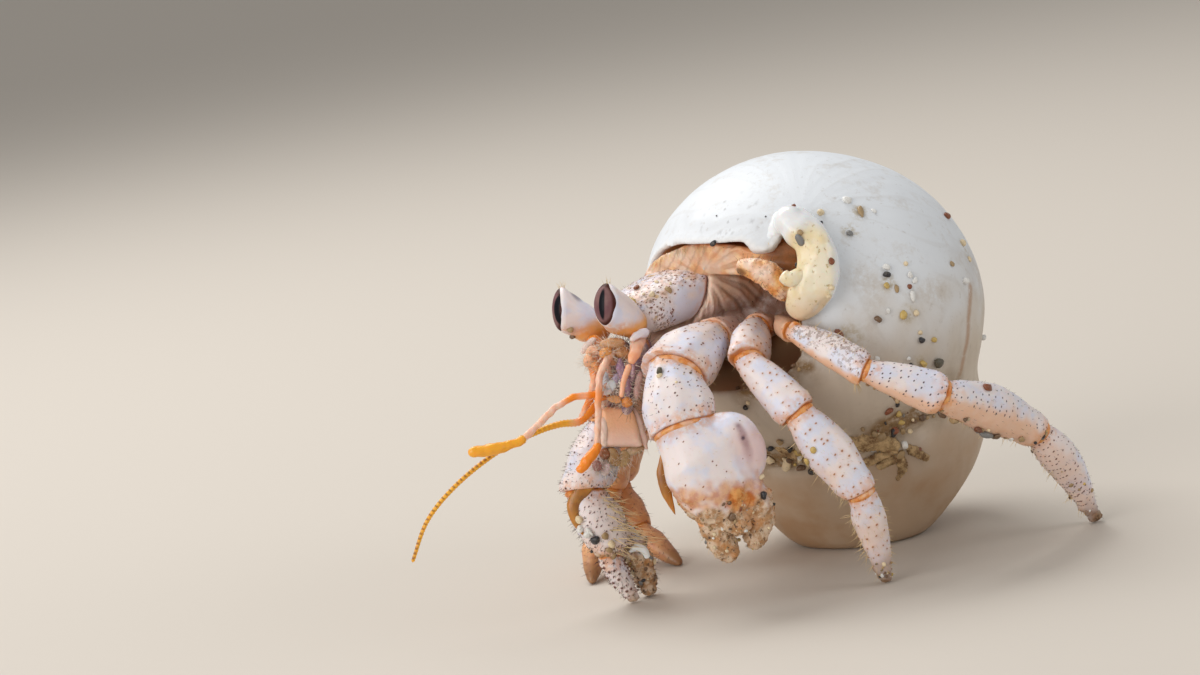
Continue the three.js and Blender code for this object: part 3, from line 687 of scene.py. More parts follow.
@once
def soft_flesh():
    looks = scene_settings("cuticle")
    s = Shades("soft_flesh", Coat_Weight=0.25, Coat_Roughness=0.28, Subsurface_Weight=0.1)
    s.surface.inputs["Subsurface Scale"].default_value = 0.8 * MM
    fold = s.mask("fold")
    grain = s.grain(1.4, 5.0, 0.65)
    broad = s.grain(0.5, 3.0)
    base = s.mix(grain.between(0.35, 0.65), tuple(looks.flesh), (0.90, 0.72, 0.60))
    base = s.mix(broad.between(0.42, 0.62) * 0.35, base, (0.70, 0.36, 0.16))
    mottle = s.mix(grain.between(0.40, 0.60), (0.92, 0.86, 0.86), (0.66, 0.46, 0.40))
    base = s.mix(s.mask("mottle") * 0.8, base, mottle)
    base = s.mix(s.mask("violet") * broad.between(0.35, 0.60), base, (0.26, 0.16, 0.24))
    amber = s.mix(grain.between(0.42, 0.66), (0.76, 0.27, 0.03), (0.92, 0.52, 0.14))
    base = s.mix(s.mask("amber"), base, amber)
    # Darker pleat troughs: painted shade; the fine dark fringe lines near the lip are the skin's own.
    base = s.mix(fold * 0.5, base, (0.36, 0.17, 0.09))
    rust = s.mix(grain.between(0.3, 0.7), (0.36, 0.12, 0.025), (0.20, 0.06, 0.012))
    base = s.mix(s.mask("rust") * 0.9, base, rust)
    base = s.mix(s.mask("pore"), base, (0.12, 0.05, 0.012))
    return s.done(
        Base_Color=base,
        Roughness=0.38 + grain * 0.2,
        Normal=s.bump(grain + s.grain(5.0, 3.0) * 0.4, 0.08, 0.8),
    )


@once
def joint_skin():
    s = Shades("joint_skin", Coat_Weight=0.4, Coat_Roughness=0.2, Subsurface_Weight=0.15)
    s.surface.inputs["Subsurface Scale"].default_value = 0.8 * MM
    grain = s.grain(1.8, 4.0)
    base = s.mix(grain.between(0.35, 0.7), (0.66, 0.19, 0.02), (0.88, 0.42, 0.14))
    base = s.mix(s.grain(0.8, 2.0).between(0.50, 0.64) * 0.6, base, (0.86, 0.62, 0.48))
    return s.done(Base_Color=base, Roughness=0.3 + grain * 0.2, Normal=s.bump(grain, 0.06, 0.8))


@once
def cornea():
    looks = scene_settings("eye")
    s = Shades("cornea", Coat_Weight=0.08, Coat_Roughness=0.05, Specular_IOR_Level=0.12)
    base = s.mix(s.grain(0.9, 2.0).between(0.35, 0.7), tuple(looks.cornea), (0.23, 0.125, 0.12))
    base = s.mix(s.mask("rim"), base, tuple(looks.rim))
    base = s.mix(s.mask("slit"), base, tuple(looks.slit))
    facets = s.cells(9.0)
    return s.done(Base_Color=base, Roughness=0.34 + facets * 0.2, Normal=s.bump(1 - facets, 0.02, 0.35))


@once
def feeler_skin():
    looks = scene_settings("feeler")
    s = Shades("feeler_skin", Coat_Roughness=0.2, Subsurface_Weight=0.25)
    s.surface.inputs["Subsurface Scale"].default_value = 0.5 * MM
    grain, band = s.grain(2.0, 3.0), s.mask("band")
    base = s.mix(grain.between(0.35, 0.7) * 0.5, tuple(looks.pink), (0.86, 0.70, 0.62))
    base = s.mix(s.mask("orange"), base, tuple(looks.orange))
    base = s.mix(s.mask("gold"), base, tuple(looks.gold))
    base = s.mix(band, base, tuple(looks.rust))
    return s.done(
        Base_Color=base,
        Roughness=0.3 + grain * 0.15,
        Coat_Weight=(1 - band) * 0.4,
        Normal=s.bump(grain, 0.03, 0.6),
    )


def plain_hair(name, value, depth):
    s = Shades(name, Roughness=0.35, Coat_Weight=0.3, Coat_Roughness=0.2)
    tone = s.grain(0.6, 2.0).between(0.3, 0.7)
    return s.done(Base_Color=s.mix(tone, value, tuple(c * depth for c in value)))


@once
def golden_bristle():
    return plain_hair("golden_bristle", tuple(scene_settings("feeler").bristle), 0.6)


@once
def pale_hair():
    return plain_hair("pale_hair", (0.92, 0.80, 0.68), 0.8)


@once
def dark_bristle():
    return plain_hair("dark_bristle", tuple(scene_settings("feeler").dark_bristle), 0.5)


@once
def sand():
    s = Shades("sand", Coat_Weight=0.3, Coat_Roughness=0.25)
    grit = s.grain(5.0, 4.0)
    base = s.mix(grit.between(0.45, 0.8) * 0.5, s.tint("tint"), (0.30, 0.24, 0.17))
    return s.done(Base_Color=base, Roughness=0.32 + grit * 0.3, Normal=s.bump(grit, 0.05, 0.7))


@once
def mouth_tissue():
    s = Shades("mouth_tissue", Coat_Weight=0.35, Coat_Roughness=0.2, Subsurface_Weight=0.2)
    s.surface.inputs["Subsurface Scale"].default_value = 0.6 * MM
    grain, fine = s.grain(1.6, 4.0, 0.7), s.grain(5.0, 3.0)
    base = s.mix(grain.between(0.55, 0.75) * 0.4, s.tint("tint"), (0.50, 0.22, 0.08))
    base = s.mix(fine.between(0.62, 0.75) * 0.4, base, (0.86, 0.76, 0.68))
    return s.done(Base_Color=base, Roughness=0.32 + fine * 0.2, Normal=s.bump(grain + fine * 0.5, 0.05, 0.8))


@once
def golden_leaf():
    s = Shades("golden_leaf", Coat_Weight=0.3, Coat_Roughness=0.2, Subsurface_Weight=0.3)
    s.surface.inputs["Subsurface Scale"].default_value = 1.0 * MM
    tone = s.grain(0.5, 2.0).between(0.3, 0.7)
    return s.done(Base_Color=s.mix(tone, (0.50, 0.21, 0.02), (0.24, 0.085, 0.012)), Roughness=0.35)


# ---------------------------------------------------------------- shell


def globe_depth(points):
    """How far each point stands out of the globe of the last whorl; negative inside it."""
    out = points - GLOBE_MIDDLE
    far = np.linalg.norm(out, axis=1)
    flare = GLOBE_FLARE * np.clip(out @ TOWARDS_LIP / far, 0, None) ** 2
    return far - GLOBE_RADIUS - flare


def camera_turn(tilt, roll):
    return Matrix.Rotation(math.pi / 2 - tilt, 4, "X") @ Matrix.Rotation(roll, 4, "Z")


def on_globe(across, down):
    """Where the last whorl's globe is seen at a place in the standard view, to a tenth of a millimetre."""
    pixel = SENSOR / LENS / VIEW_WIDTH
    way = np.array([(across - VIEW_WIDTH / 2) * pixel, (VIEW_HEIGHT / 2 - down) * pixel, -1.0])
    way = np.array(camera_turn(VIEW_TILT, VIEW_ROLL).to_3x3()) @ way
    way /= np.linalg.norm(way)
    spots = CAMERA_SPOT + way * np.arange(*SIGHT_RANGE, SIGHT_STEP)[:, None]
    return np.round(spots[np.flatnonzero(globe_depth(spots) <= 0)[0]], 1)


def ridges(piece):
    """For each point, the sharpest outward fold of the edges at it."""
    mesh = bmesh.new()
    mesh.from_mesh(piece.data)
    ridge = np.zeros(len(mesh.verts))
    for edge in mesh.edges:
        bend = edge.calc_face_angle_signed(0.0)
        for v in edge.verts:
            ridge[v.index] = max(ridge[v.index], bend)
    mesh.free()
    return ridge


def creases(piece):
    """Points along the inward folds of a mesh, a few to a millimetre."""
    mesh = bmesh.new()
    mesh.from_mesh(piece.data)
    spots = []
    for edge in mesh.edges:
        if edge.calc_face_angle_signed(0.0) < -0.2:
            a, b = (np.array(v.co) / MM for v in edge.verts)
            spots += [a + (b - a) * t for t in np.arange(0, 1, 0.3 / max(0.3, np.linalg.norm(b - a)))]
    mesh.free()
    return np.array(spots)


def lip_wall():
    """A curved sheet under the shell's surface, from the outer lip's end to the inner lip."""
    deselect()
    rows, columns = len(LIP_WALL), len(LIP_WALL[0])
    bpy.ops.mesh.primitive_grid_add(x_subdivisions=columns - 1, y_subdivisions=rows - 1, size=1)
    sheet = bpy.context.object
    spots = np.array(LIP_WALL)[::-1].reshape(-1, 3)
    out = spots - GLOBE_MIDDLE
    far = np.linalg.norm(out, axis=1)
    flare = GLOBE_FLARE * np.clip(out @ TOWARDS_LIP / far, 0, None) ** 2
    move_points(sheet, GLOBE_MIDDLE + out / far[:, None] * (GLOBE_RADIUS + flare - 0.45)[:, None])
    modified(sheet, "SUBSURF", levels=2, render_levels=2)
    modified(sheet, "SOLIDIFY", thickness=0.9 * MM, offset=0)
    return sheet


# Rounded lumps that fill the step between the last two whorls on the right: middle and half sizes.
SHOULDER_FILL = (
    ((19.12, 2.93, 12.67), (2.0, 2.0, 2.6)),
    ((18.61, 2.83, 11.0), (2.15, 2.0, 2.6)),
    ((18.11, 2.8, 9.32), (2.3, 2.0, 2.6)),
)
STAINS = (
    ((12.4, -5.9, 29.6), 1.2),
    ((11.2, -7.4, 28.3), 1.0),
    ((13.7, -8.8, 23.8), 1.0),
    ((14.6, -8.9, 21.0), 1.1),
    ((15.0, -8.3, 16.6), 1.2),
    # Partly stain, partly painted shade below the lip and the crab.
    ((9.6, -10.2, 20.0), 1.6),
    ((21.5, -0.8, 24.0), 1.0),
)
SCRATCH_SPOT = np.array([1.5, -5.0, 30.5])
STRIPE_ROUTE = (
    (20.9, -3.0, 21.4),
    (20.5, -3.8, 20.0),
    (20.2, -4.2, 18.9),
    (19.9, -4.2, 17.2),
    (19.5, -4.3, 16.0),
    (19.0, -4.1, 14.5),
)


def snail_shell():
    """The shell: globe and spire rounded off, with its lip kept sharp, growth lines and dirt."""
    looks = scene_settings("shell")
    piece = copied("snail_shell", "shell")
    seam = creases(piece)
    seam = seam[(np.abs(globe_depth(seam)) < 1.2) & (seam[:, 2] < 20) & (seam[:, 0] < 18.0)]
    fill = [ball(spot, (ACROSS, UPRIGHT, -AWAY), size) for spot, size in SHOULDER_FILL]
    piece = joined([piece, lip_wall(), *fill], "snail_shell")
    remeshed(piece, looks.cell)
    ridge = ridges(piece)
    points = points_of(piece)
    upper = points[:, 2] > 13.5
    lip = (ridge > 0.42) & upper & (points[:, 1] < 4.0)
    to_lip = distances_to(points, points[lip])
    to_seam = distances_to(points, seam)
    stiff = ease(0.9, 0.3, to_lip)
    relax(piece, 60, stiff)
    held = np.maximum(stiff, ease(12, 15, points[:, 2])) + ease(1.4, 0.5, to_seam) * 0.5
    relax(piece, 240, np.clip(held, 0, 1))
    points = points_of(piece)
    swell = ease(12.0, 9.0, points[:, 2]) * ease(2.0, 7.0, points[:, 2]) * ease(14.0, 19.0, points[:, 0])
    points[:, 0] += 0.5 * swell
    points[:, 2] -= 0.55 * ease(3.0, 0.0, points[:, 2]) * ease(0.0, 0.6, points[:, 2] - points[:, 2].min())
    points[:, 2] = np.maximum(points[:, 2], 0)
    move_points(piece, points)
    stand = globe_depth(points)
    smooth = ease(1.0, 0.6, np.abs(stand)) * ease(0.8, 2.2, to_lip) * ease(0.8, 2.4, to_seam)
    outward = points - GLOBE_MIDDLE
    outward /= np.linalg.norm(outward, axis=1)[:, None]
    move_points(piece, points - outward * (stand * smooth)[:, None])
    shoulder = ease(15.0, 18.5, points[:, 0]) * ease(20.0, 16.0, points[:, 2])
    relax(piece, 220, 1 - shoulder)
    relax(piece, 300, ease(1.8, 3.4, np.linalg.norm(points_of(piece) - SPIRE_TIP, axis=1)))
    relax(piece, 2)
    points = points_of(piece)
    inside = ease(-0.25, -0.75, globe_depth(points)) * upper
    to_seam = distances_to(points, seam)
    around = round_axis(points)
    wavy = clouds(points, 6.0)
    growth = np.sin((around * 46 + wavy * 1.2) * 2 * math.pi) * 0.5
    growth += np.sin((around * 17 + wavy) * 2 * math.pi) * 0.5
    outside = 1 - inside
    keep = outside * ease(0.2, 1.2, points[:, 2]) * ease(0.2, 1.5, to_lip)
    caught = ease(1.3, 0.2, to_seam + clouds(points, 1.4) * 0.9) * outside * ease(7.0, 1.0, points[:, 1])
    heights = clouds(points, 5.0) * looks.dent / MM * 0.6 + growth * 0.012
    heights += caught * np.abs(clouds(points, 0.7)) * 0.5
    push(piece, heights * keep)
    patchy = clouds(points, 2.2)
    paint(piece, "inside", inside)
    # Mask for painted shade on the lower inside of the mouth.
    paint(piece, "deep", ease(20.5, 17.5, points[:, 2]))
    rim = ease(0.42, 0.12, to_lip) * ease(-1.6, -0.9, globe_depth(points))
    paint(piece, "edge", rim * ease(19.0, 22.0, points[:, 2]))
    # Browner towards the floor: partly the first whorls' tan, partly painted shade near the floor.
    brown = 0.45 + 0.55 * ease(11.0, 3.0, points[:, 2] + clouds(points, 3.0) * 1.5)
    paint(piece, "spire", ease(-0.1, 1.6, globe_depth(points)) * outside * (points[:, 2] < 20) * brown)
    dirt = np.clip(caught + ease(2.6, 0.4, to_seam + patchy * 1.6) * 0.45, 0, 1)
    paint(piece, "dirt", dirt * outside * ease(9.0, 1.0, points[:, 1]))
    # Mask rising towards the bottom, for the warm grey that is partly weathering and partly painted shade.
    paint(piece, "low", ease(28.0, 13.5, points[:, 2] + patchy * 2.2 + clouds(points, 5.0) * 2.0))
    paint(piece, "growth", growth * 0.5 + 0.5)
    faint = clouds(points, 3.4)
    paint(piece, "cloudy", ease(-0.1, 0.7, faint) * ease(30.0, 24.0, points[:, 2]))
    streak = np.array(smooth_route(STRIPE_ROUTE, 40))
    paint(piece, "stripe", ease(0.55, 0.15, distances_to(points, streak)))
    scratched = ease(4.0, 1.5, np.linalg.norm(points - SCRATCH_SPOT, axis=1))
    lines = np.abs(np.sin(points @ np.array([2.2, 0.4, 3.1]) + clouds(points, 1.2) * 3.5))
    more = np.abs(np.sin(points @ np.array([-2.9, 1.0, 1.9]) + clouds(points, 1.5) * 3.5))
    paint(piece, "scratch", scratched * np.maximum(ease(0.07, 0.01, lines), ease(0.06, 0.01, more)))
    # Stains, one of them below the lip partly painted shade.
    stain = np.zeros(len(points))
    for spot, reach in STAINS:
        far = np.linalg.norm(points - spot, axis=1) + patchy * 0.25
        stain = np.maximum(stain, ease(reach, reach * 0.35, far))
    paint(piece, "stain", stain)
    finish(piece, bleached_shell(), "shell", "shell")
    return piece, seam


def round_axis(points):
    """Turn about the shell's axis, as a share of a circle."""
    aside = np.cross(SHELL_AXIS, (0, 1, 0))
    aside /= np.linalg.norm(aside)
    ahead = np.cross(SHELL_AXIS, aside)
    out = points - SHELL_APEX
    return np.arctan2(out @ ahead, out @ aside) / (2 * math.pi)


def distances_to(points, marks):
    """How far each point is from the nearest mark."""
    if not len(marks):
        return np.full(len(points), 99.0)
    tree = KDTree(len(marks))
    for i, mark in enumerate(marks):
        tree.insert(mark, i)
    tree.balance()
    return np.array([tree.find(p)[2] for p in points])


COLUMELLA_LOBES = (
    ((6.3, -8.9, 30.1), (1.25, 1.4, 1.35)),
    ((7.0, -9.6, 29.2), (1.5, 1.3, 1.5)),
    ((7.9, -10.2, 26.8), (1.3, 1.4, 2.4)),
    ((7.2, -10.4, 24.3), (1.6, 1.2, 1.7)),
    ((6.2, -10.4, 23.2), (1.1, 1.0, 0.9)),
    ((3.56, -6.7, 28.0), (0.75, 0.55, 0.6)),
    ((4.24, -6.81, 28.16), (0.8, 0.6, 0.6)),
    ((4.8, -6.79, 28.57), (0.85, 0.75, 0.65)),
    ((5.34, -6.48, 29.2), (0.95, 0.9, 0.75)),
    ((5.96, -6.22, 29.91), (1.05, 1.0, 0.95)),
    ((7.97, -9.37, 28.98), (1.2, 1.2, 1.0)),
    ((8.09, -9.97, 27.37), (1.1, 1.8, 0.9)),
    ((7.37, -10.48, 25.56), (1.3, 1.8, 0.9)),
    ((6.46, -10.47, 24.37), (1.4, 1.2, 0.9)),
    ((8.32, -9.8, 25.98), (0.8, 2.2, 0.8)),
    ((6.1, -7.5, 29.8), (1.1, 1.1, 1.1)),
)


def columella_lip():
    """The curled porcelain lip beside the mouth, white along its outer edge."""
    core = copied("columella_lip", "shell_columella")
    lobes = [core]
    for spot, size in COLUMELLA_LOBES:
        deselect()
        bpy.ops.mesh.primitive_uv_sphere_add(
            segments=24, ring_count=12, radius=1, location=Vector(spot) * MM, scale=Vector(size) * MM
        )
        lobes.append(bpy.context.object)
    piece = joined(lobes, "columella_lip")
    remeshed(piece, 0.14 * MM)
    relax(piece, 34)
    points, normals = points_of(piece), normals_of(piece)
    out = points - points.mean(0)
    rightward = out @ np.array(ACROSS) - 0.05 * (out @ np.array(UPRIGHT)) ** 2
    facing = ease(-0.1, -0.7, normals[:, 1])
    dip = np.exp(-(((rightward - 0.4) / 0.9) ** 2)) * facing * ease(31.0, 28.0, points[:, 2])
    ripples = clouds(points, 1.1) * 0.10 + clouds(points, 0.45) * 0.04
    push(piece, ripples * facing - dip * 0.22)
    relax(piece, 2)
    normals = normals_of(piece)
    edge = ease(0.35, 0.8, normals @ np.array(ACROSS))
    edge += ease(29.2, 30.2, points[:, 2] + clouds(points, 1.0) * 0.3)
    edge += ease(6.3, 5.5, points[:, 0]) * ease(27.0, 27.6, points[:, 2])
    paint(piece, "rim", np.clip(edge, 0, 1))
    paint(piece, "tan", ease(25.0, 22.5, points[:, 2]))
    finish(piece, porcelain(), "pearl", "shell_columella")
    return piece


def tube(name, route, radii, rings, sides=12, ripple=0.0):
    """A tube along a smooth route, drawn out ring by ring from a circle. Ripple makes its rings bulge."""
    spots = smooth_route(route, rings)
    heading = spots[1] - spots[0]
    turn = heading.to_track_quat("Z", "Y")
    deselect()
    bpy.ops.mesh.primitive_circle_add(
        vertices=sides,
        radius=radii[0] * MM * 0.5,
        fill_type="NGON",
        location=spots[0] * MM,
        rotation=turn.to_euler(),
    )
    piece = bpy.context.object
    bpy.ops.object.transform_apply(location=True, rotation=True, scale=True)
    bpy.ops.object.mode_set(mode="EDIT")
    bpy.ops.mesh.select_all(action="SELECT")
    width = radii[0] * 0.5
    for i in range(1, rings):
        place = i / (rings - 1)
        wanted = float(np.interp(place, np.linspace(0, 1, len(radii)), radii))
        wanted *= 1 + ripple * (-1) ** i
        if i == rings - 1:
            wanted *= 0.45
        step = (spots[i] - spots[i - 1]) * MM
        bpy.ops.mesh.extrude_region_move(TRANSFORM_OT_translate={"value": step})
        ahead = spots[min(i + 1, rings - 1)] - spots[i - 1]
        swing = heading.rotation_difference(ahead)
        axis, angle = swing.to_axis_angle()
        middle = spots[i] * MM
        if abs(angle) > 1e-4:
            rotate_selected(angle, axis, middle)
        bpy.ops.transform.resize(value=(wanted / width,) * 3, center_override=middle)
        heading, width = ahead, wanted
    bpy.ops.mesh.select_all(action="SELECT")
    bpy.ops.mesh.normals_make_consistent(inside=False)
    bpy.ops.object.mode_set(mode="OBJECT")
    piece.name = name
    paint_along(piece, spots)
    return piece


def rotate_selected(angle, axis, middle):
    """Turns what is selected in edit mode by a right-handed angle about an axis."""
    spin = Matrix.Rotation(angle, 3, axis)
    mesh = bmesh.from_edit_mesh(bpy.context.object.data)
    bmesh.ops.rotate(mesh, cent=middle, matrix=spin, verts=[v for v in mesh.verts if v.select])
    bmesh.update_edit_mesh(bpy.context.object.data)


def smooth_route(route, count):
    """Evenly spaced points on a smooth curve through the route's points."""
    knots = [Vector(p) for p in route]
    ends = [knots[0] * 2 - knots[1], *knots, knots[-1] * 2 - knots[-2]]
    dense = []
    for a, b, c, d in zip(ends, ends[1:], ends[2:], ends[3:]):
        for k in range(24):
            t = k / 24
            spot = b * 2 + (c - a) * t + (a * 2 - b * 5 + c * 4 - d) * t * t
            spot += (b * 3 - a - c * 3 + d) * t**3
            dense.append(spot / 2)
    dense.append(knots[-1])
    steps = [0.0]
    for a, b in zip(dense, dense[1:]):
        steps.append(steps[-1] + (b - a).length)
    wanted = np.linspace(0, steps[-1], count)
    return [Vector([float(np.interp(w, steps, [p[k] for p in dense])) for k in range(3)]) for w in wanted]


def paint_along(piece, spots):
    """Paints how far along the route each point is, from 0 to 1."""
    tree = KDTree(len(spots))
    for i, spot in enumerate(spots):
        tree.insert(spot, i)
    tree.balance()
    paint(piece, "along", [tree.find(p)[1] / (len(spots) - 1) for p in points_of(piece)])


def along(piece):
    values = np.empty(len(piece.data.vertices), np.float32)
    piece.data.attributes["along"].data.foreach_get("value", values)
    return values


# ---------------------------------------------------------------- sand


def grain_shape(seed):
    """One irregular grain of unit size: a rough little ball with chipped faces."""
    deselect()
    bpy.ops.mesh.primitive_ico_sphere_add(subdivisions=2, radius=1.0)
    piece = bpy.context.object
    rng = np.random.default_rng(seed)
    points = points_of(piece) * MM
    for _ in range(5):
        chip = rng.normal(size=3)
        chip /= np.linalg.norm(chip)
        over = np.clip(points @ chip - rng.uniform(0.55, 0.8), 0, None)
        points -= over[:, None] * chip
    points *= rng.uniform(0.75, 1.15, 3)
    faces = [tuple(p.vertices) for p in piece.data.polygons]
    bpy.data.objects.remove(piece)
    return points, faces


def grains(name, places, seed):
    """One mesh of many sand grains.

    Each place is a point, its outward direction, a width, a length and a colour.
    """
    rng = np.random.default_rng(seed)
    shapes = [grain_shape(seed + k) for k in range(6)]
    corners, faces, tints = [], [], []
    for spot, normal, width, long, shade in places:
        shape, sides = shapes[rng.integers(len(shapes))]
        upright = Vector(normal).cross(ACROSS).normalized()
        aside = upright.cross(Vector(normal)).normalized()
        lean = rng.normal(0, 0.5)
        turned = np.array(upright) * math.cos(lean) + np.array(aside) * math.sin(lean)
        other = np.cross(turned, normal)
        axes = np.stack([other, turned, np.array(normal)])
        scale = np.array([width, long, width * rng.uniform(0.6, 0.85)]) / 2
        solid = (shape * scale) @ axes + np.array(spot) + np.array(normal) * width * 0.15
        base = sum(len(c) for c in corners)
        corners.append(solid)
        faces += [tuple(base + i for i in side) for side in sides]
        tints.append(np.tile((*shade, 1.0), (len(solid), 1)))
    mesh = bpy.data.meshes.new(name)
    mesh.from_pydata((np.vstack(corners) * MM).tolist(), [], faces)
    mesh.attributes.new("tint", "FLOAT_COLOR", "POINT").data.foreach_set("color", np.vstack(tints).ravel())
    piece = bpy.data.objects.new(name, mesh)
    bpy.context.scene.collection.objects.link(piece)
    pick(piece)
    bpy.ops.object.mode_set(mode="EDIT")
    bpy.ops.mesh.select_all(action="SELECT")
    bpy.ops.mesh.normals_make_consistent(inside=False)
    bpy.ops.object.mode_set(mode="OBJECT")
    return piece


def shade_of_sand(rng):
    """A random sand colour, mostly cream and tan, with a few white and dark grains."""
    kinds = ("white", "cream", "yellow", "tan", "rust", "brown", "grey", "dark")
    kind = rng.choice(kinds, p=(0.05, 0.24, 0.06, 0.38, 0.05, 0.14, 0.02, 0.06))
    return tuple(np.clip(np.array(GRAIN_COLOURS[kind]) * rng.uniform(0.75, 1.15), 0, 1))


def shell_sand(shell, lip, seam):
    """Grains stuck on the shell one by one, and the debris caught along its seam."""
    places = []
    for carrier, rows in ((shell, SHELL_GRAINS), (lip, LIP_GRAINS)):
        tree = piece_tree(carrier)
        for spot, width, long, kind in rows:
            spot = on_globe(*spot) if len(spot) == 2 else spot
            near, normal, _, _ = tree.find_nearest(Vector(spot))
            places.append((near, normal, width, long, GRAIN_COLOURS[kind]))
    finish(grains("shell_grains", places, 3), sand(), "shell")
    tree = piece_tree(shell)
    rng = np.random.default_rng(8)
    front = seam[(seam[:, 1] < 3) & (seam[:, 0] < 16.5)]
    places = []
    for spot in front[rng.permutation(len(front))[:300]]:
        spot = spot + rng.normal(0, 0.55, 3)
        near, normal, _, _ = tree.find_nearest(Vector(spot))
        size = float(np.clip(rng.lognormal(-1.0, 0.5), 0.16, 1.0))
        places.append((near, normal, size, size * rng.uniform(1.0, 1.5), shade_of_sand(rng)))
    finish(grains("seam_debris", places, 4), sand(), "shell")
    strands = [tube("strand", route, (0.20, 0.36, 0.30, 0.12), 26, 8, 0.16) for route in DIRT_STRANDS]
    strands.append(tube("strand", DIRT_RIDGE, (0.3, 0.7, 0.6, 0.3), 26, 10, 0.10))
    for strand in strands:
        points = points_of(strand)
        rough = np.stack([clouds(points + k * 7.0, 0.5) for k in range(3)], 1)
        points += rough * 0.2
        held = [np.array(tree.find_nearest(Vector(p))[0]) for p in points]
        move_points(strand, points * 0.45 + np.array(held) * 0.55 + normals_of(strand) * 0.10)
    finish(joined(strands, "dirt_strands"), dirt_fibre(), "shell")


@once
def dirt_fibre():
    s = Shades("dirt_fibre", Roughness=0.8)
    tone = s.grain(1.2, 5.0, 0.7)
    base = s.mix(tone.between(0.36, 0.62), (0.20, 0.11, 0.045), (0.62, 0.44, 0.23))
    return s.done(Base_Color=base, Normal=s.bump(s.grain(4.0, 4.0), 0.12, 1.0))


# ---------------------------------------------------------------- plates of the limbs

# Warmth all over, warmth below, spacing, width and height of the spots, their halo and how inky they are, or
# orange-brown below 0.
PLATE_LOOKS = {
    "claw_major_ischium": (0.5, 0.3, 1.0, 0.18, 0.04, 0.5, 0.0),
    "claw_major_merus": (0.10, 0.25, 1.05, 0.13, 0.05, 0.6, 0.0),
    "claw_major_carpus": (0.0, 0.10, 0.95, 0.11, 0.04, 0.2, 0.3),
    "claw_major_palm": (0.0, 0.10, 2.4, 0.10, 0.03, 0.3, 0.0),
    "claw_major_finger": (0.2, 0.2, 0.8, 0.22, 0.10, 0.5, 0.0),
    "claw_minor_ischium": (0.8, 0.3, 1.2, 0.16, 0.03, 0.3, 0.0),
    "claw_minor_merus": (0.9, 0.1, 2.4, 0.12, 0.02, 0.2, 0.0),
    "claw_minor_carpus": (0.0, 0.1, 0.80, 0.11, 0.10, 0.3, 0.4),
    "claw_minor_palm": (0.0, 0.1, 0.66, 0.10, 0.08, 0.3, 0.4),
    "claw_minor_finger": (0.0, 0.1, 0.56, 0.17, 0.24, 0.3, 0.2),
    "leg_front_L": (0.02, 0.4, 0.95, 0.13, 0.10, 0.7, -0.4),
    "leg_front_L_ischium": (0.5, 0.4, 1.2, 0.13, 0.05, 1.0, -0.3),
    "leg_back_L_ischium": (0.9, 0.8, 2.4, 0.10, 0.02, 0.3, 0.0),
    "leg_back_L_merus": (0.0, 1.0, 0.85, 0.08, 0.02, 0.5, 0.1),
    "leg_back_L_dactyl": (0.0, 0.45, 0.66, 0.12, 0.05, 0.1, 0.3),
    "leg_back_L": (0.0, 0.80, 0.70, 0.09, 0.03, 0.1, 0.8),
    "leg_front_R": (0.95, 0.6, 2.5, 0.12, 0.03, 0.5, 0.0),
    "leg_back_R": (0.95, 0.6, 2.5, 0.12, 0.03, 0.5, 0.0),
}
# Height below which each plate is crusted with sand, in millimetres.
CRUST_TOP = {
    "claw_major_palm": 10.4,
    "claw_major_finger": 20.0,
    "claw_minor_palm": 5.2,
    "claw_minor_finger": 1.2,
    "leg_front_L_dactyl": 1.6,
    "leg_back_L_dactyl": 1.6,
}
RUSTY_SPOTS = {
    "claw_major_palm": (
        ((-1.78, -17.32, 9.95), 1.55),
        ((-2.38, -17.36, 9.65), 0.9),
        ((-0.75, -16.98, 9.55), 1.0),
    ),
}
BRUISES = {
    "claw_major_palm": (
        ((-0.53, -16.05, 15.46), 0.42),
        ((-0.35, -16.23, 14.31), 0.26),
        ((-0.46, -16.14, 14.89), 0.18),
    ),
}
# Middle of the pink-tan over the big palm's right lobe, partly its own tint and partly painted shade.
PALM_PINK_AND_SHADE = np.array((0.69, -16.37, 13.42))
# Route of the violet streak down the big palm beside its raised lobe: partly a dark mark, partly painted
# shadow.
VIOLET_ROUTE = (
    (-0.68, -15.96, 16.04),
    (-0.42, -16.1, 15.12),
    (-0.2, -16.29, 13.96),
    (-0.06, -16.47, 12.82),
    (-0.08, -16.64, 11.7),
)
# Rounded lobes joined to a plate before it is smoothed: middle, and half width, height and depth.
PLATE_LOBES = {
    "claw_major_palm": (
        ((-1.32, -14.65, 13.91), (2.4, 2.4, 1.7)),
        ((-0.46, -14.79, 12.64), (1.9, 2.6, 1.5)),
        ((-1.97, -16.74, 7.79), (1.1, 1.0, 0.9)),
    ),
}


# How much a plate swells at half length, as a share of its width, and how far it arches up, in millimetres.
PLATE_SWELL = {
    "leg_front_L_merus": (0.10, 0.0),
    "leg_front_L_carpus": (0.06, 0.0),
    "leg_front_L_propodus": (0.15, 0.1),
    "leg_front_L_dactyl": (0.10, 0.2),
    "leg_back_L_merus": (0.06, 0.25),
    "leg_back_L_carpus": (0.06, 0.1),
    "leg_back_L_propodus": (0.16, 0.45),
    "leg_back_L_dactyl": (0.28, 0.85),
    "claw_major_merus": (0.05, 0.0),
    "claw_major_carpus": (0.05, 0.0),
    "claw_minor_carpus": (0.08, 0.0),
    "claw_minor_palm": (0.08, 0.0),
}


# Width of a plate at its root and at its far end, beside that of its solid.
PLATE_TAPER = {
    "leg_back_L_ischium": (0.78, 0.72),
    "leg_back_L_merus": (0.70, 0.84),
    "leg_back_L_carpus": (0.86, 1.0),
}


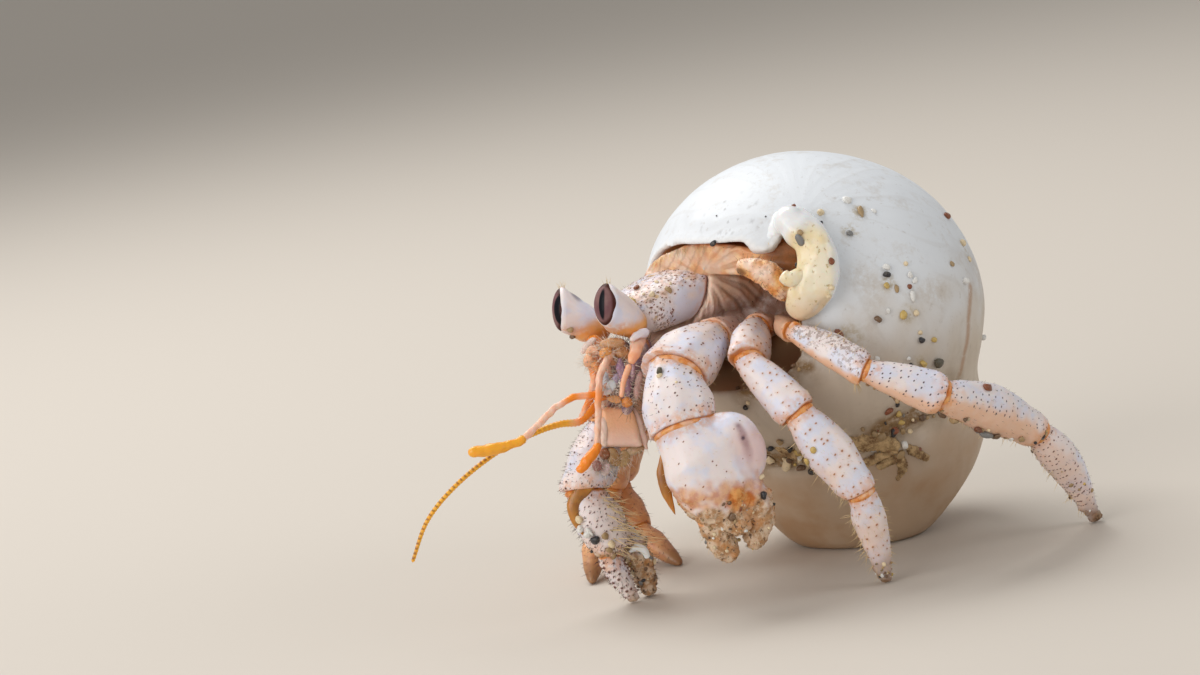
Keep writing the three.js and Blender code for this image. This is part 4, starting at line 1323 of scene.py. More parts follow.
def plate_ends(piece, node, before, after):
    """Middle of the face at the plate's root, and of the one at its far end or its tip."""
    first = face_towards(node, before)
    start = first[0] if first else points_of(piece).mean(0)
    last = face_towards(node, after) if after else None
    points = points_of(piece)
    end = last[0] if last else points[np.argmax(np.linalg.norm(points - start, axis=1))]
    return start, end


def arched(piece, start, end, swell, rise, root=1.0, tip=1.0):
    """Swells a plate at half length, arches it upwards and slims its ends."""
    points = points_of(piece)
    way = (end - start) / np.linalg.norm(end - start)
    share = np.clip((points - start) @ way / np.linalg.norm(end - start), 0, 1)
    spokes = points - start
    spokes -= np.outer(spokes @ way, way)
    middle = np.sin(share * math.pi)
    above = np.array(UPRIGHT) - way * (np.array(UPRIGHT) @ way)
    wider = middle * swell + root + (tip - root) * share - 1
    move_points(piece, points + spokes * wider[:, None] + np.outer(middle * rise, above))


def spots_in_rows(points, start, end, spacing, keep, seed):
    """Indices of points set out in rows round a limb, each row a little uneven."""
    rng = np.random.default_rng(seed)
    way = (end - start) / np.linalg.norm(end - start)
    out = points - start
    height = out @ way
    spokes = out - np.outer(height, way)
    side = np.cross(way, (0.0, 0.0, 1.0))
    side /= np.linalg.norm(side)
    turn = np.arctan2(spokes @ side, spokes @ np.cross(way, side)) * np.linalg.norm(spokes, axis=1).mean()
    uneven = clouds(points, 1.2) * spacing * 0.25
    row = np.floor((height + uneven) / spacing).astype(int)
    place = turn / (spacing * 0.72) + (row % 2) * 0.5
    column = np.floor(place).astype(int)
    slots = {}
    aim = rng.uniform(0.25, 0.75, (97, 2))
    pick_aim = aim[(row * 31 + column * 17) % 97]
    miss = np.hypot(((height + uneven) / spacing - row - pick_aim[:, 0]), (place - column - pick_aim[:, 1]))
    for i in np.flatnonzero(keep):
        slot = (row[i], column[i])
        if slot not in slots or miss[i] < miss[slots[slot]]:
            slots[slot] = i
    return np.array([i for i in slots.values() if rng.random() < 0.85], dtype=int)


def cut_face(piece, node, other):
    """Measures a plate's end beside another node for reshaping: returns each point's place from the cut and
    its spoke.
    """
    face = face_towards(node, other)
    if face is None:
        return None
    middle, _, axes = face
    out = points_of(piece) - middle
    normal = axes[:, 0]
    depth = np.abs(out @ normal)
    spokes = out - np.outer(out @ normal, normal)
    near = ease(4.5, 3.0, np.linalg.norm(out, axis=1))
    inner = points_of(piece).mean(0) - middle
    return depth, spokes, near, normal * -np.sign(inner @ normal)


def plate(limb, part):
    """One plate of a limb: slim where it leaves the last plate, flared at its far rim, spotted and tinged."""
    parts = LIMBS[limb]
    node = f"{limb}_{part}"
    place = parts.index(part)
    before = f"{limb}_{parts[place - 1]}" if place else "thorax"
    after = f"{limb}_{parts[place + 1]}" if place + 1 < len(parts) else None
    piece = copied(f"{node}_plate", node)
    lobes = [ball(spot, (ACROSS, UPRIGHT, -AWAY), size) for spot, size in PLATE_LOBES.get(node, ())]
    piece = joined([piece, *lobes], f"{node}_plate")
    remeshed(piece, scene_settings("cuticle").cell)
    tree = surface_tree(before, after) if after else surface_tree(before)
    gap = distances(points_of(piece), tree)
    relax(piece, 45, ease(0.62, 0.30, gap))
    relax(piece, 3)
    start, end = plate_ends(piece, node, before, after)
    arched(piece, start, end, *PLATE_SWELL.get(node, (0.0, 0.0)), *PLATE_TAPER.get(node, (1.0, 1.0)))
    slim = cut_face(piece, node, before)
    if slim and place:
        depth, spokes, near, outward = slim
        points = points_of(piece) - spokes * (near * ease(1.5, 0.0, depth) * 0.11)[:, None]
        move_points(piece, points + outward * (near * ease(0.5, 0.0, depth) * 0.30)[:, None])
    flare = cut_face(piece, node, after) if after and limb != "claw_major" else None
    if flare:
        depth, spokes, near, _ = flare
        bulge = np.exp(-(((depth - 0.75) / 0.55) ** 2)) * 0.075 - ease(0.35, 0.0, depth) * 0.03
        move_points(piece, points_of(piece) + spokes * (near * bulge)[:, None])
    points, normals = points_of(piece), normals_of(piece)
    gap = distances(points, tree)
    warm, below, spacing, width, height, halo, ink = PLATE_LOOKS.get(node) or PLATE_LOOKS[limb]
    seed = sum(map(ord, node))
    if limb.startswith("leg") or limb == "claw_minor":
        keep = (gap > 0.45) & (normals[:, 2] > (-0.25 if limb == "leg_back_L" else -2.0))
        if node == "leg_back_L_dactyl":
            keep = (gap > 0.45) & (normals[:, 2] < 0.35)
        seeds = spots_in_rows(points, start, end, spacing, keep, seed)
    else:
        seeds = spread(points, spacing, gap > 0.55, seed)
    rng = np.random.default_rng(seed)
    size = rng.uniform(0.6, 1.25, len(seeds))
    amount = swellings(points, seeds, size * width)
    heights = amount * height + clouds(points, 1.4) * 0.04 + clouds(points, 0.5) * 0.015
    crust = np.zeros(len(points))
    if node in CRUST_TOP:
        crust = ease(CRUST_TOP[node], CRUST_TOP[node] - 1.2, points[:, 2] + clouds(points, 1.1) * 1.4)
        lumps = np.abs(clouds(points, 0.40)) * 0.22 + np.abs(clouds(points, 1.1)) * 0.42
        heights = heights * (1 - crust) + crust * lumps * ease(0.0, 0.4, points[:, 2])
    rusty = np.zeros(len(points))
    for spot, reach in RUSTY_SPOTS.get(node, ()):
        rusty = np.maximum(rusty, ease(reach, reach * 0.4, np.linalg.norm(points - spot, axis=1)))
    bruise = np.zeros(len(points))
    for spot, reach in BRUISES.get(node, ()):
        bruise = np.maximum(bruise, ease(reach, reach * 0.4, np.linalg.norm(points - spot, axis=1)))
    heights *= ease(0.0, 0.25, points[:, 2])
    push(piece, heights)
    ragged = clouds(points, 0.7)
    paint(piece, "spots", amount * (1 - crust))
    paint(piece, "halo", swellings(points, seeds, size * width * 2.4) * halo)
    paint(piece, "ink", np.full(len(points), max(ink, 0.0)))
    paint(piece, "fox", np.full(len(points), max(-ink, 0.0) * 2))
    wide = 0.44 if limb.startswith("leg") else 0.28
    paint(piece, "joint", ease(wide, wide * 0.35, gap + ragged * 0.12) * 0.9)
    paint(piece, "tinge", ease(1.7, 0.3, gap + ragged * 0.7) * 0.65)
    paint(piece, "warm", np.clip(warm + below * ease(0.25, -0.35, normals[:, 2] + ragged * 0.15), 0, 1))
    paint(piece, "crust", crust)
    border = 0.6 if limb.endswith("_R") else crust_border(node, points, ragged)
    paint(piece, "rusty", np.maximum(rusty, border))
    paint(piece, "bruise", bruise)
    if node == "claw_major_palm":
        # Violet streak: partly a dark mark, partly painted shadow beside the ridge.
        streak = distances_to(points, np.array(smooth_route(VIOLET_ROUTE, 20)))
        paint(piece, "violet", ease(0.62, 0.12, streak + ragged * 0.12) * ease(10.8, 14.0, points[:, 2]))
        # Pink-tan on the right lobe: partly its own tint, partly painted shade.
        lobe = distances_to(points, PALM_PINK_AND_SHADE[None])
        paint(piece, "blush", ease(3.2, 1.0, lobe + ragged * 0.4) * 0.7)
    if part == "dactyl":
        paint(piece, "horn", ease(3.4, 0.6, np.linalg.norm(points - end, axis=1) + ragged * 0.6) * 0.8)
    if node == "leg_back_L_merus":
        paint(piece, "speckle", ease(0.0, 0.5, normals[:, 2] + ragged * 0.4) * 0.55)
    finish(piece, cuticle(), "plates", node)
    return piece


def crust_border(node, points, ragged):
    """Rust-coloured stain just above the sand crust of the big claw."""
    if node != "claw_major_palm":
        return np.zeros(len(points))
    height = points[:, 2] + ragged * 0.9
    return ease(12.0, 10.4, height) * ease(9.0, 10.2, height) * 0.75


def face_towards(node, other, reach=0.5):
    """Middle, half widths and turn of the face that a CAD node shows to its neighbour."""
    corners = np.array([v.co for v in frame["nodes"][node].data.vertices]) / MM
    corners = np.unique(corners.round(3), axis=0)
    near = corners[distances(corners, surface_tree(other)) < reach]
    if len(near) < 5:
        return None
    middle = near.mean(0)
    spans, axes = np.linalg.eigh(np.cov((near - middle).T))
    if np.linalg.det(axes) < 0:
        axes[:, 0] *= -1
    return middle, np.sqrt(np.clip(spans, 0, None) * 2), axes


def joint_skins():
    """Soft orange skin that shows in the slits between the plates."""
    balls = []
    for limb, parts in LIMBS.items():
        chain = ["thorax", *(f"{limb}_{part}" for part in parts)]
        for first, second in zip(chain, chain[1:]):
            face = face_towards(second, first)
            if face is None:
                continue
            middle, spans, axes = face
            turn = Matrix(axes[:, [2, 1, 0]].tolist()).to_4x4()
            if turn.determinant() < 0:
                turn = turn @ Matrix.Diagonal((1, 1, -1, 1))
            slim = 0.88 * PLATE_TAPER.get(first, (1.0, 1.0))[1]
            size = (spans[2] * slim * MM, spans[1] * slim * MM, 0.6 * MM)
            deselect()
            bpy.ops.mesh.primitive_uv_sphere_add(
                segments=32,
                ring_count=16,
                radius=1,
                location=Vector(middle) * MM,
                rotation=turn.to_euler(),
                scale=size,
            )
            balls.append(bpy.context.object)
    piece = joined(balls, "joint_skins")
    finish(piece, joint_skin(), "feelers")


# ---------------------------------------------------------------- head and body


def shield():
    """The head shield, smooth behind, speckled with brown and gold in front and on top."""
    piece = copied("head_shield", "carapace_shield")
    remeshed(piece, scene_settings("cuticle").cell)
    tree = surface_tree("carapace_rear")
    gap = distances(points_of(piece), tree)
    relax(piece, 60, ease(0.55, 0.3, gap))
    relax(piece, 3)
    points, normals = points_of(piece), normals_of(piece)
    gap = distances(points, tree)
    ahead = points @ HEADING
    ragged = clouds(points, 0.8)
    front = ease(np.quantile(ahead, 0.45), np.quantile(ahead, 0.85), ahead + clouds(points, 1.6) * 1.0)
    high = ease(0.25, 0.75, normals[:, 2] + ragged * 0.2)
    speckle = np.clip(front + high, 0, 1)
    rng = np.random.default_rng(5)
    seeds = spread(points, 0.42, (gap > 0.5) & (speckle > 0.3), 5)
    seeds = seeds[rng.random(len(seeds)) < 0.55]
    size = rng.uniform(0.06, 0.13, len(seeds))
    amount = swellings(points, seeds, size)
    push(piece, amount * 0.05 + clouds(points, 0.45) * 0.04 * speckle + clouds(points, 1.6) * 0.05)
    paint(piece, "speckle", speckle * ease(-0.5, 0.5, clouds(points, 1.3)) * 0.7)
    paint(piece, "spots", amount)
    paint(piece, "halo", swellings(points, seeds, size * 1.8) * 0.8)
    paint(piece, "joint", ease(0.66, 0.42, gap) * 0.7)
    # Near-black line in the groove along the shield's rear edge: painted shade.
    paint(piece, "bruise", ease(0.52, 0.34, gap) * 0.85)
    paint(piece, "tinge", np.clip(high * 0.45 + ease(1.4, 0.3, gap) * 0.6, 0, 1) * ease(-0.3, 0.4, ragged))
    paint(piece, "warm", high * front * 0.3)
    paint(piece, "crust", high * ease(0.25, 0.6, clouds(points, 1.0)) * 0.5)
    finish(piece, cuticle(), "plates", "carapace_shield")


# Soft tissue between the outer lip and the head shield: rows from the lip down.
MANTLE = (
    (
        (-5.6, 1.6, 26.6),
        (-4.2, 0.6, 27.5),
        (-2.8, -0.6, 28.2),
        (-0.9, -2.6, 28.7),
        (1.3, -4.3, 28.4),
        (3.1, -5.4, 27.8),
        (4.71, -6.53, 27.79),
        (5.97, -6.14, 28.22),
        (7.11, -6.24, 28.05),
    ),
    (
        (-5.8, 1.4, 25.6),
        (-4.5, 0.4, 26.5),
        (-3.0, -0.8, 27.1),
        (-1.2, -2.4, 27.4),
        (1.0, -3.8, 27.2),
        (2.9, -4.8, 26.6),
        (4.57, -6.74, 27.0),
        (5.75, -6.7, 27.06),
        (6.87, -6.95, 26.83),
    ),
    (
        (-6.2, 1.2, 24.6),
        (-4.8, 0.7, 25.2),
        (-3.3, 0.0, 25.7),
        (-1.6, -1.2, 26.0),
        (0.6, -2.6, 26.0),
        (2.6, -3.8, 25.4),
        (4.41, -6.83, 25.94),
        (5.53, -7.08, 25.72),
        (6.66, -7.22, 25.55),
    ),
)


def mantle():
    """The sheet of tissue that closes the mouth of the shell above the head."""
    deselect()
    rows, columns = len(MANTLE), len(MANTLE[0])
    bpy.ops.mesh.primitive_grid_add(x_subdivisions=columns - 1, y_subdivisions=rows - 1, size=1)
    sheet = bpy.context.object
    move_points(sheet, np.array(MANTLE)[::-1].reshape(-1, 3))
    modified(sheet, "SUBSURF", levels=2, render_levels=2)
    modified(sheet, "SOLIDIFY", thickness=0.9 * MM, offset=0)
    return sheet


def body_skin():
    """One soft skin over thorax, rear carapace and abdomen, pleated along the flank."""
    piece = copied("body_skin", "carapace_rear", "thorax", "abdomen")
    push(piece, np.full(len(piece.data.vertices), 0.16))
    piece = joined([piece, mantle()], "body_skin")
    remeshed(piece, 0.16 * MM)
    relax(piece, 22)
    points, normals = points_of(piece), normals_of(piece)
    out = points - SHIELD_CORNER
    aside = out @ np.array(ACROSS)
    up = out @ np.array(UPRIGHT)
    reach = np.hypot(aside, up)
    fan = np.arctan2(up, aside + 0.6)
    swirl = fan + reach * 0.06 + clouds(points, 2.6) * 0.10
    wave = np.sin(swirl * 17) * 0.65 + np.sin(swirl * 41 + clouds(points, 1.2) * 1.5) * 0.35
    flank = ease(-0.1, -0.6, normals[:, 1]) * ease(20.5, 22.0, points[:, 2])
    pleat = flank * ease(0.4, 2.4, reach)
    push(piece, wave * 0.15 * pleat + clouds(points, 0.9) * 0.08 + clouds(points, 3.0) * 0.12)
    patchy = clouds(points, 0.9)
    above = ease(-0.4, 0.4, up + np.abs(aside) * 0.12)
    fringe = np.sin((aside * 0.9 - up * 0.45) * 9.0 + clouds(points, 1.0) * 1.2)
    fringe = ease(0.55, 0.9, fringe) * above * ease(0.6, -1.0, aside) * 0.8
    # Fold mask: painted shade in the pleat troughs, with the skin's own dark fringe lines near the lip.
    paint(piece, "fold", np.maximum(ease(-0.30, -0.85, wave) * pleat * (1 - above), fringe))
    paint(piece, "mottle", ease(23.6, 22.2, points[:, 2] + patchy * 0.8) * ease(-3.0, -1.0, points[:, 0]))
    paint(piece, "violet", ease(21.5, 20.0, points[:, 2]) * ease(-5.0, -7.0, points[:, 0]))
    amber = ease(24.6, 26.6, points[:, 2] + patchy * 0.5) * ease(0.5, 2.5, points[:, 0])
    paint(piece, "amber", np.maximum(amber * 0.7, above * ease(-0.5, 0.5, patchy) * 0.6))
    paint(piece, "rust", ease(3.7, 4.8, points[:, 0] + patchy * 0.2) * ease(25.2, 26.2, points[:, 2]))
    finish(piece, soft_flesh(), "soft_body", "carapace_rear", "thorax", "abdomen")


# Small knuckles that join the clubs of the first feelers to their stalks: middle and radius.
KNUCKLES = {
    "antennule_tip_R": ((-18.1, -9.95, 15.8), 0.40),
    "antennule_tip_L": ((-12.08, -10.82, 14.4), 0.40),
}


def soft_limb(node, name, material, slot, cell=0.09, rounds=14, rough=0.03, **masks):
    """A small limb or feeler joint, rounded from its CAD node."""
    piece = copied(name, node)
    if node in KNUCKLES:
        spot, radius = KNUCKLES[node]
        piece = joined([piece, ball(spot, (ACROSS, UPRIGHT, -AWAY), (radius,) * 3)], name)
    remeshed(piece, cell * MM)
    relax(piece, rounds)
    points = points_of(piece)
    push(piece, clouds(points, 0.5) * rough)
    for mask, work_out in masks.items():
        paint(piece, mask, work_out(points))
    finish(piece, material, slot, node)
    return piece


def fourth_legs():
    pore = np.array([1.6, -8.5, 26.5])
    for side in "LR":
        piece = soft_limb(
            f"leg_four_{side}",
            f"fourth_leg_{side}",
            soft_flesh(),
            "feelers",
            cell=0.10,
            rough=0.10,
            amber=lambda p: ease(-0.5, 0.6, clouds(p, 1.0)) * 0.9,
            pore=lambda p: ease(0.62, 0.28, np.linalg.norm((p - pore) * (0.7, 0.4, 1.2), axis=1)) * 0.8,
        )
        points = points_of(piece)
        seeds = spread(points, 0.42, points[:, 0] > 2.6, 3)
        push(piece, swellings(points, seeds, np.full(len(seeds), 0.24)) * 0.08)


def mouthparts():
    for side in "LR":
        soft_limb(
            f"maxilliped_{side}",
            f"maxilliped_palp_{side}",
            soft_flesh(),
            "mouthparts",
            rough=0.05,
            violet=lambda p: np.ones(len(p)),
            mottle=lambda p: ease(0.0, 0.4, clouds(p, 0.8)) * 0.7,
            amber=lambda p: ease(0.2, 0.6, clouds(p + 5.0, 0.9)) * 0.8,
        )


# Small soft plates and scales round the mouth: place, length, width, depth, lean and tone.
MOUTH_SCALES = (
    ((-10.66, -6.56, 19.25), 1.42, 0.92, 0.25, 0.5, (0.7, 0.76, 0.86)),
    ((-10.19, -7.39, 18.64), 1.08, 0.75, 0.25, -0.6, (0.8, 0.84, 0.9)),
    ((-11.13, -7.6, 18.57), 0.67, 0.75, 0.3, 0.0, (0.84, 0.8, 0.76)),
    ((-10.59, -7.56, 18.23), 0.5, 0.83, 0.3, 0.3, (0.78, 0.7, 0.7)),
    ((-9.17, -7.17, 19.8), 2.0, 0.75, 0.7, 0.12, (0.36, 0.22, 0.33)),
    ((-9.8, -7.14, 18.96), 1.33, 0.58, 0.5, -0.25, (0.56, 0.46, 0.62)),
    ((-8.78, -7.48, 18.6), 2.17, 0.58, 0.6, 0.05, (0.3, 0.16, 0.23)),
    ((-8.21, -7.16, 19.47), 1.67, 0.5, 0.6, -0.1, (0.44, 0.28, 0.34)),
    ((-7.98, -7.29, 18.27), 2.5, 0.67, 0.7, -0.15, (0.66, 0.42, 0.38)),
    ((-9.56, -6.32, 21.93), 1.0, 2.17, 0.9, 0.1, (0.60, 0.34, 0.17)),
    ((-8.86, -6.52, 21.09), 1.08, 1.5, 0.8, -0.3, (0.52, 0.24, 0.09)),
    ((-10.17, -6.94, 21.36), 0.92, 1.17, 0.7, 0.4, (0.70, 0.30, 0.08)),
    ((-9.8, -6.75, 20.51), 0.83, 1.0, 0.7, 0.0, (0.50, 0.22, 0.10)),
    ((-11.21, -5.75, 21.51), 0.92, 1.25, 0.7, 0.2, (0.84, 0.47, 0.29)),
    ((-11.67, -6.15, 20.79), 1.17, 1.0, 0.7, -0.2, (0.82, 0.44, 0.25)),
    ((-11.16, -6.35, 20.32), 1.0, 0.75, 0.6, 0.3, (0.8, 0.36, 0.13)),
    ((-11.15, -6.78, 17.75), 0.75, 1.5, 0.7, 0.1, (0.82, 0.28, 0.04)),
    ((-10.03, -7.35, 17.5), 0.67, 1.33, 0.6, -0.1, (0.8, 0.4, 0.16)),
    ((-9.09, -7.58, 17.14), 0.92, 0.92, 0.7, 0.2, (0.74, 0.27, 0.05)),
    ((-10.9, -6.9, 12.6), 1.7, 1.15, 0.5, 0.5, (0.40, 0.24, 0.10)),
    ((-10.1, -6.8, 12.3), 1.5, 1.1, 0.5, -0.35, (0.46, 0.30, 0.14)),
    ((-11.6, -7.0, 13.0), 1.0, 0.9, 0.5, 0.2, (0.26, 0.09, 0.03)),
    ((-9.2, -6.6, 12.8), 0.75, 1.9, 0.5, 0.3, (0.50, 0.34, 0.20)),
    ((-8.8, -6.43, 12.78), 0.75, 0.83, 0.5, 0.0, (0.3, 0.18, 0.08)),
    ((-12.37, -7.95, 12.29), 1.0, 0.75, 0.5, 0.3, (0.3, 0.14, 0.12)),
    ((-11.69, -7.58, 11.76), 1.0, 0.67, 0.4, -0.4, (0.66, 0.55, 0.55)),
    ((-8.35, -6.6, 14.62), 3.67, 0.67, 0.6, 0.32, (0.82, 0.57, 0.49)),
    ((-11.36, -7.16, 14.87), 2.5, 0.75, 0.5, 0.05, (0.84, 0.62, 0.52)),
)
MOUTH_PANEL = (-9.9, -6.66, 14.97)


def mouth_scales():
    """Little overlapping plates and lumps between the palps, and the broad peach one below them."""
    scales, tints = [], []
    for spot, long, wide, deep, lean, shade in MOUTH_SCALES:
        turn = Matrix([ACROSS, UPRIGHT, -AWAY]).transposed() @ Matrix.Rotation(lean, 3, "Z")
        axes = turn.transposed()
        scales.append(ball(spot, (axes[0], axes[1], axes[2]), (wide / 2, long / 2, deep / 2)))
        tints += [(*shade, 1.0)] * len(scales[-1].data.vertices)
    deselect()
    turn = Matrix([ACROSS, UPRIGHT, -AWAY]).transposed()
    bpy.ops.mesh.primitive_cube_add(
        size=1,
        location=Vector(MOUTH_PANEL) * MM,
        rotation=turn.to_euler(),
        scale=(3.8 * MM, 3.3 * MM, 1.2 * MM),
    )
    panel = bpy.context.object
    bpy.ops.object.transform_apply(location=False, rotation=False, scale=True)
    for v in panel.data.vertices:
        v.co.x *= 1.0 if v.co.y < 0 else 0.72
        v.co.x -= 0.35 * MM if v.co.y > 0 else 0.0
    modified(panel, "BEVEL", width=0.5 * MM, segments=3)
    modified(panel, "SUBSURF", levels=2, render_levels=2)
    low = [float(ease(0.6, -1.6, v.co.y / MM)) for v in panel.data.vertices]
    tints += [(0.88 - 0.02 * k, 0.48 + 0.12 * k, 0.27 + 0.23 * k, 1.0) for k in low]
    piece = joined([*scales, panel], "mouth_scales")
    tint = piece.data.attributes.new("tint", "FLOAT_COLOR", "POINT")
    tint.data.foreach_set("color", np.array(tints, dtype=np.float32).ravel())
    points = points_of(piece)
    push(piece, clouds(points, 0.45) * 0.10 + clouds(points, 0.2) * 0.03)
    finish(piece, mouth_tissue(), "mouthparts")


# ---------------------------------------------------------------- eyes

# Each eye: middle of the cornea, way it faces, half width and height, and balls that fill out its stalk.
EYES = {
    "L": (
        (-9.75, -7.25, 25.45),
        -0.80 * AWAY - 0.62 * ACROSS + 0.02 * UPRIGHT,
        (1.16, 1.78),
        (((-8.3, -5.7, 24.3), 1.35), ((-7.6, -5.2, 23.2), 1.25), ((-8.9, -5.9, 23.7), 1.1)),
    ),
    "R": (
        (-13.62, -2.75, 24.95),
        -0.16 * AWAY - 0.98 * ACROSS - 0.02 * UPRIGHT,
        (1.16, 1.86),
        (((-11.9, -1.9, 23.8), 1.40), ((-10.6, -1.2, 22.6), 1.20), ((-11.6, -1.6, 22.7), 1.0)),
    ),
}


SLIT_SHIFT = {"L": -0.12, "R": -0.75}


def ball(spot, axes, size):
    """A ball stretched along three directions."""
    deselect()
    turn = Matrix([v.normalized() for v in axes]).transposed()
    bpy.ops.mesh.primitive_uv_sphere_add(
        segments=32,
        ring_count=16,
        radius=1,
        location=Vector(spot) * MM,
        rotation=turn.to_euler(),
        scale=Vector(size) * MM,
    )
    return bpy.context.object


def eyes():
    """Flattened white stalks, orange at the root, and dark upright corneas with a slit."""
    for side, (middle, facing, (wide, tall), filling) in EYES.items():
        middle, facing = np.array(middle), facing.normalized()
        across = UPRIGHT.cross(facing).normalized()
        upright = facing.cross(across)
        axes = (across, upright, facing)
        socket = ball(middle - np.array(facing) * 0.45, axes, (wide * 1.05, tall * 1.03, 0.62))
        balls = [socket] + [ball(spot, axes, (size,) * 3) for spot, size in filling]
        stalk = joined(balls, f"eyestalk_plate_{side}")
        bpy.ops.object.mode_set(mode="EDIT")
        bpy.ops.mesh.select_all(action="SELECT")
        bpy.ops.mesh.convex_hull()
        bpy.ops.object.mode_set(mode="OBJECT")
        remeshed(stalk, 0.085 * MM)
        relax(stalk, 10)
        points = points_of(stalk)
        push(stalk, clouds(points, 0.9) * 0.05)
        points = points_of(stalk)
        back = -(points - middle) @ np.array(facing)
        rise = (points - middle) @ np.array(upright)
        ragged = clouds(points, 0.7) * 0.3
        paint(stalk, "joint", ease(4.6, 5.4, back * 0.8 - rise * 1.25 + ragged) * 0.6)
        paint(stalk, "warm", ease(1.9, 3.9, back * 0.7 - rise * 1.1 + ragged) * 0.6)
        paint(stalk, "tinge", ease(-1.2, -2.0, rise + ragged) * 0.6)
        mark = np.array(middle) + np.array(upright) * 1.15 - np.array(facing) * 1.6
        far = distances_to(points, mark[None]) * (1 + 0.5 * (side == "L"))
        paint(stalk, "bruise", ease(0.9, 0.3, far) * 0.6)
        paint(stalk, "orange", ease(3.3, 4.5, back * 0.8 - rise * 1.25 + ragged))
        finish(stalk, cuticle(), "plates", f"eyestalk_{side}")
        eye = ball(middle - np.array(facing) * 0.42, axes, (wide, tall, 0.86))
        eye.name = f"cornea_{side}"
        bpy.ops.object.transform_apply(location=True, rotation=True, scale=True)
        modified(eye, "SUBSURF", levels=2, render_levels=2)
        points = points_of(eye)
        out = points - middle
        aside, rise = out @ np.array(across), out @ np.array(upright)
        pinch = 1 - 0.16 * (rise / tall) ** 2
        move_points(eye, points + np.outer(aside * (pinch - 1), np.array(across)))
        out = points_of(eye) - middle
        aside, rise, front = (out @ np.array(way) for way in axes)
        oval = np.hypot(aside / wide, rise / tall)
        paint(eye, "rim", ease(0.74, 0.90, oval))
        slit = ease(1.0, 0.75, np.hypot((aside + SLIT_SHIFT[side]) / 0.31, rise / 1.44))
        paint(eye, "slit", slit * (front > -0.2))
        finish(eye, cornea(), "eye", f"eye_{side}")


# ---------------------------------------------------------------- feelers


WHIP_BANDS = 50


def feelers():
    """Antennules with orange clubs, and antennae with banded whips."""

    def ones(points):
        return np.ones(len(points))

    def near(points, *spots):
        return np.clip(sum(ease(1.3, 0.3, np.linalg.norm(points - spot, axis=1)) for spot in spots), 0, 1)

    def bend_and_end(points):
        return np.clip(ease(14.6, 13.8, points[:, 2]) + near(points, (-11.2, -8.6, 18.0)) * 0.8, 0, 1)

    def bends(points):
        return near(points, (-11.6, -8.2, 18.2), (-13.6, -8.2, 18.4), (-10.2, -3.6, 20.6))

    looks = {
        "antennule_base_L": dict(orange=bend_and_end),
        "antennule_tip_L": dict(orange=ones),
        "antennule_base_R": dict(orange=bends),
        "antennule_tip_R": dict(gold=lambda p: np.full(len(p), 0.75), orange=ones),
        "antenna_base_R": dict(orange=lambda p: 0.55 + 0.45 * np.sin(p[:, 2] * 2.6)),
        "antenna_base_L": dict(orange=lambda p: ease(22.3, 21.0, p[:, 2]) * 0.45),
    }
    stout = {"antennule_tip_L": 0.04, "antennule_base_R": -0.03, "antennule_base_L": -0.06}
    for node, masks in looks.items():
        piece = soft_limb(node, f"{node}_skin", feeler_skin(), "feelers", cell=0.08, rounds=18, **masks)
        points = points_of(piece)
        root = points[:, 0].max() - points[:, 0]
        swelling = stout.get(node, 0.0) * (ease(0.0, 1.6, root) if "tip" in node else 1.0)
        if node == "antennule_tip_R":
            swelling = ease(1.0, 3.4, root) * 0.10 - ease(0.4, 1.2, root) * ease(2.6, 1.2, root) * 0.04
        push(piece, swelling + clouds(points, 0.5) * 0.04)
    for side in "LR":
        node = f"antenna_scale_{side}"
        masks = {"warm": lambda points: ones(points) * 0.35}
        soft_limb(node, f"{node}_plate", cuticle(), "plates", cell=0.08, rounds=10, **masks)
    widths = (0.38, 0.30, 0.23, 0.21, 0.20, 0.18, 0.15)
    whip = tube("antenna_whip_skin_R", WHIP_ROUTE_R, widths, 150, 10, 0.10)
    place = along(whip)
    paint(whip, "gold", ease(0.10, 0.16, place))
    paint(whip, "orange", ease(0.16, 0.08, place))
    shaded = ease(-0.6, 0.0, normals_of(whip) @ (np.array(UPRIGHT) * 0.8 - np.array(ACROSS) * 0.6))
    bands = ease(-0.5, 0.2, np.sin(place * 2 * math.pi * WHIP_BANDS))
    paint(whip, "band", bands * shaded * ease(0.10, 0.42, place) * 0.95)
    finish(whip, feeler_skin(), "feelers", "antenna_whip_R")
    whip = tube("antenna_whip_skin_L", WHIP_ROUTE_L, (0.28, 0.24, 0.2), 22, 10, 0.08)
    paint(whip, "orange", np.full(len(whip.data.vertices), 0.3))
    finish(whip, feeler_skin(), "feelers", "antenna_whip_L")


# ---------------------------------------------------------------- bristles


HAIR_STEPS = 5
HAIR_SIDES = 3


def hair_shape():
    """One straight unit hair: a thin cone cut into short lengths, so that it can bend."""
    deselect()
    bpy.ops.mesh.primitive_cone_add(
        vertices=HAIR_SIDES, radius1=1, radius2=0.12, depth=1, location=(0, 0, 0.5)
    )
    piece = bpy.context.object
    bpy.ops.object.transform_apply(location=True, rotation=True, scale=True)
    bpy.ops.object.mode_set(mode="EDIT")
    for step in range(1, HAIR_STEPS):
        bpy.ops.mesh.select_all(action="SELECT")
        bpy.ops.mesh.bisect(plane_co=(0, 0, step / HAIR_STEPS), plane_no=(0, 0, 1))
    bpy.ops.object.mode_set(mode="OBJECT")
    points = points_of(piece) * MM
    faces = [tuple(p.vertices) for p in piece.data.polygons]
    bpy.data.objects.remove(piece)
    return points, faces


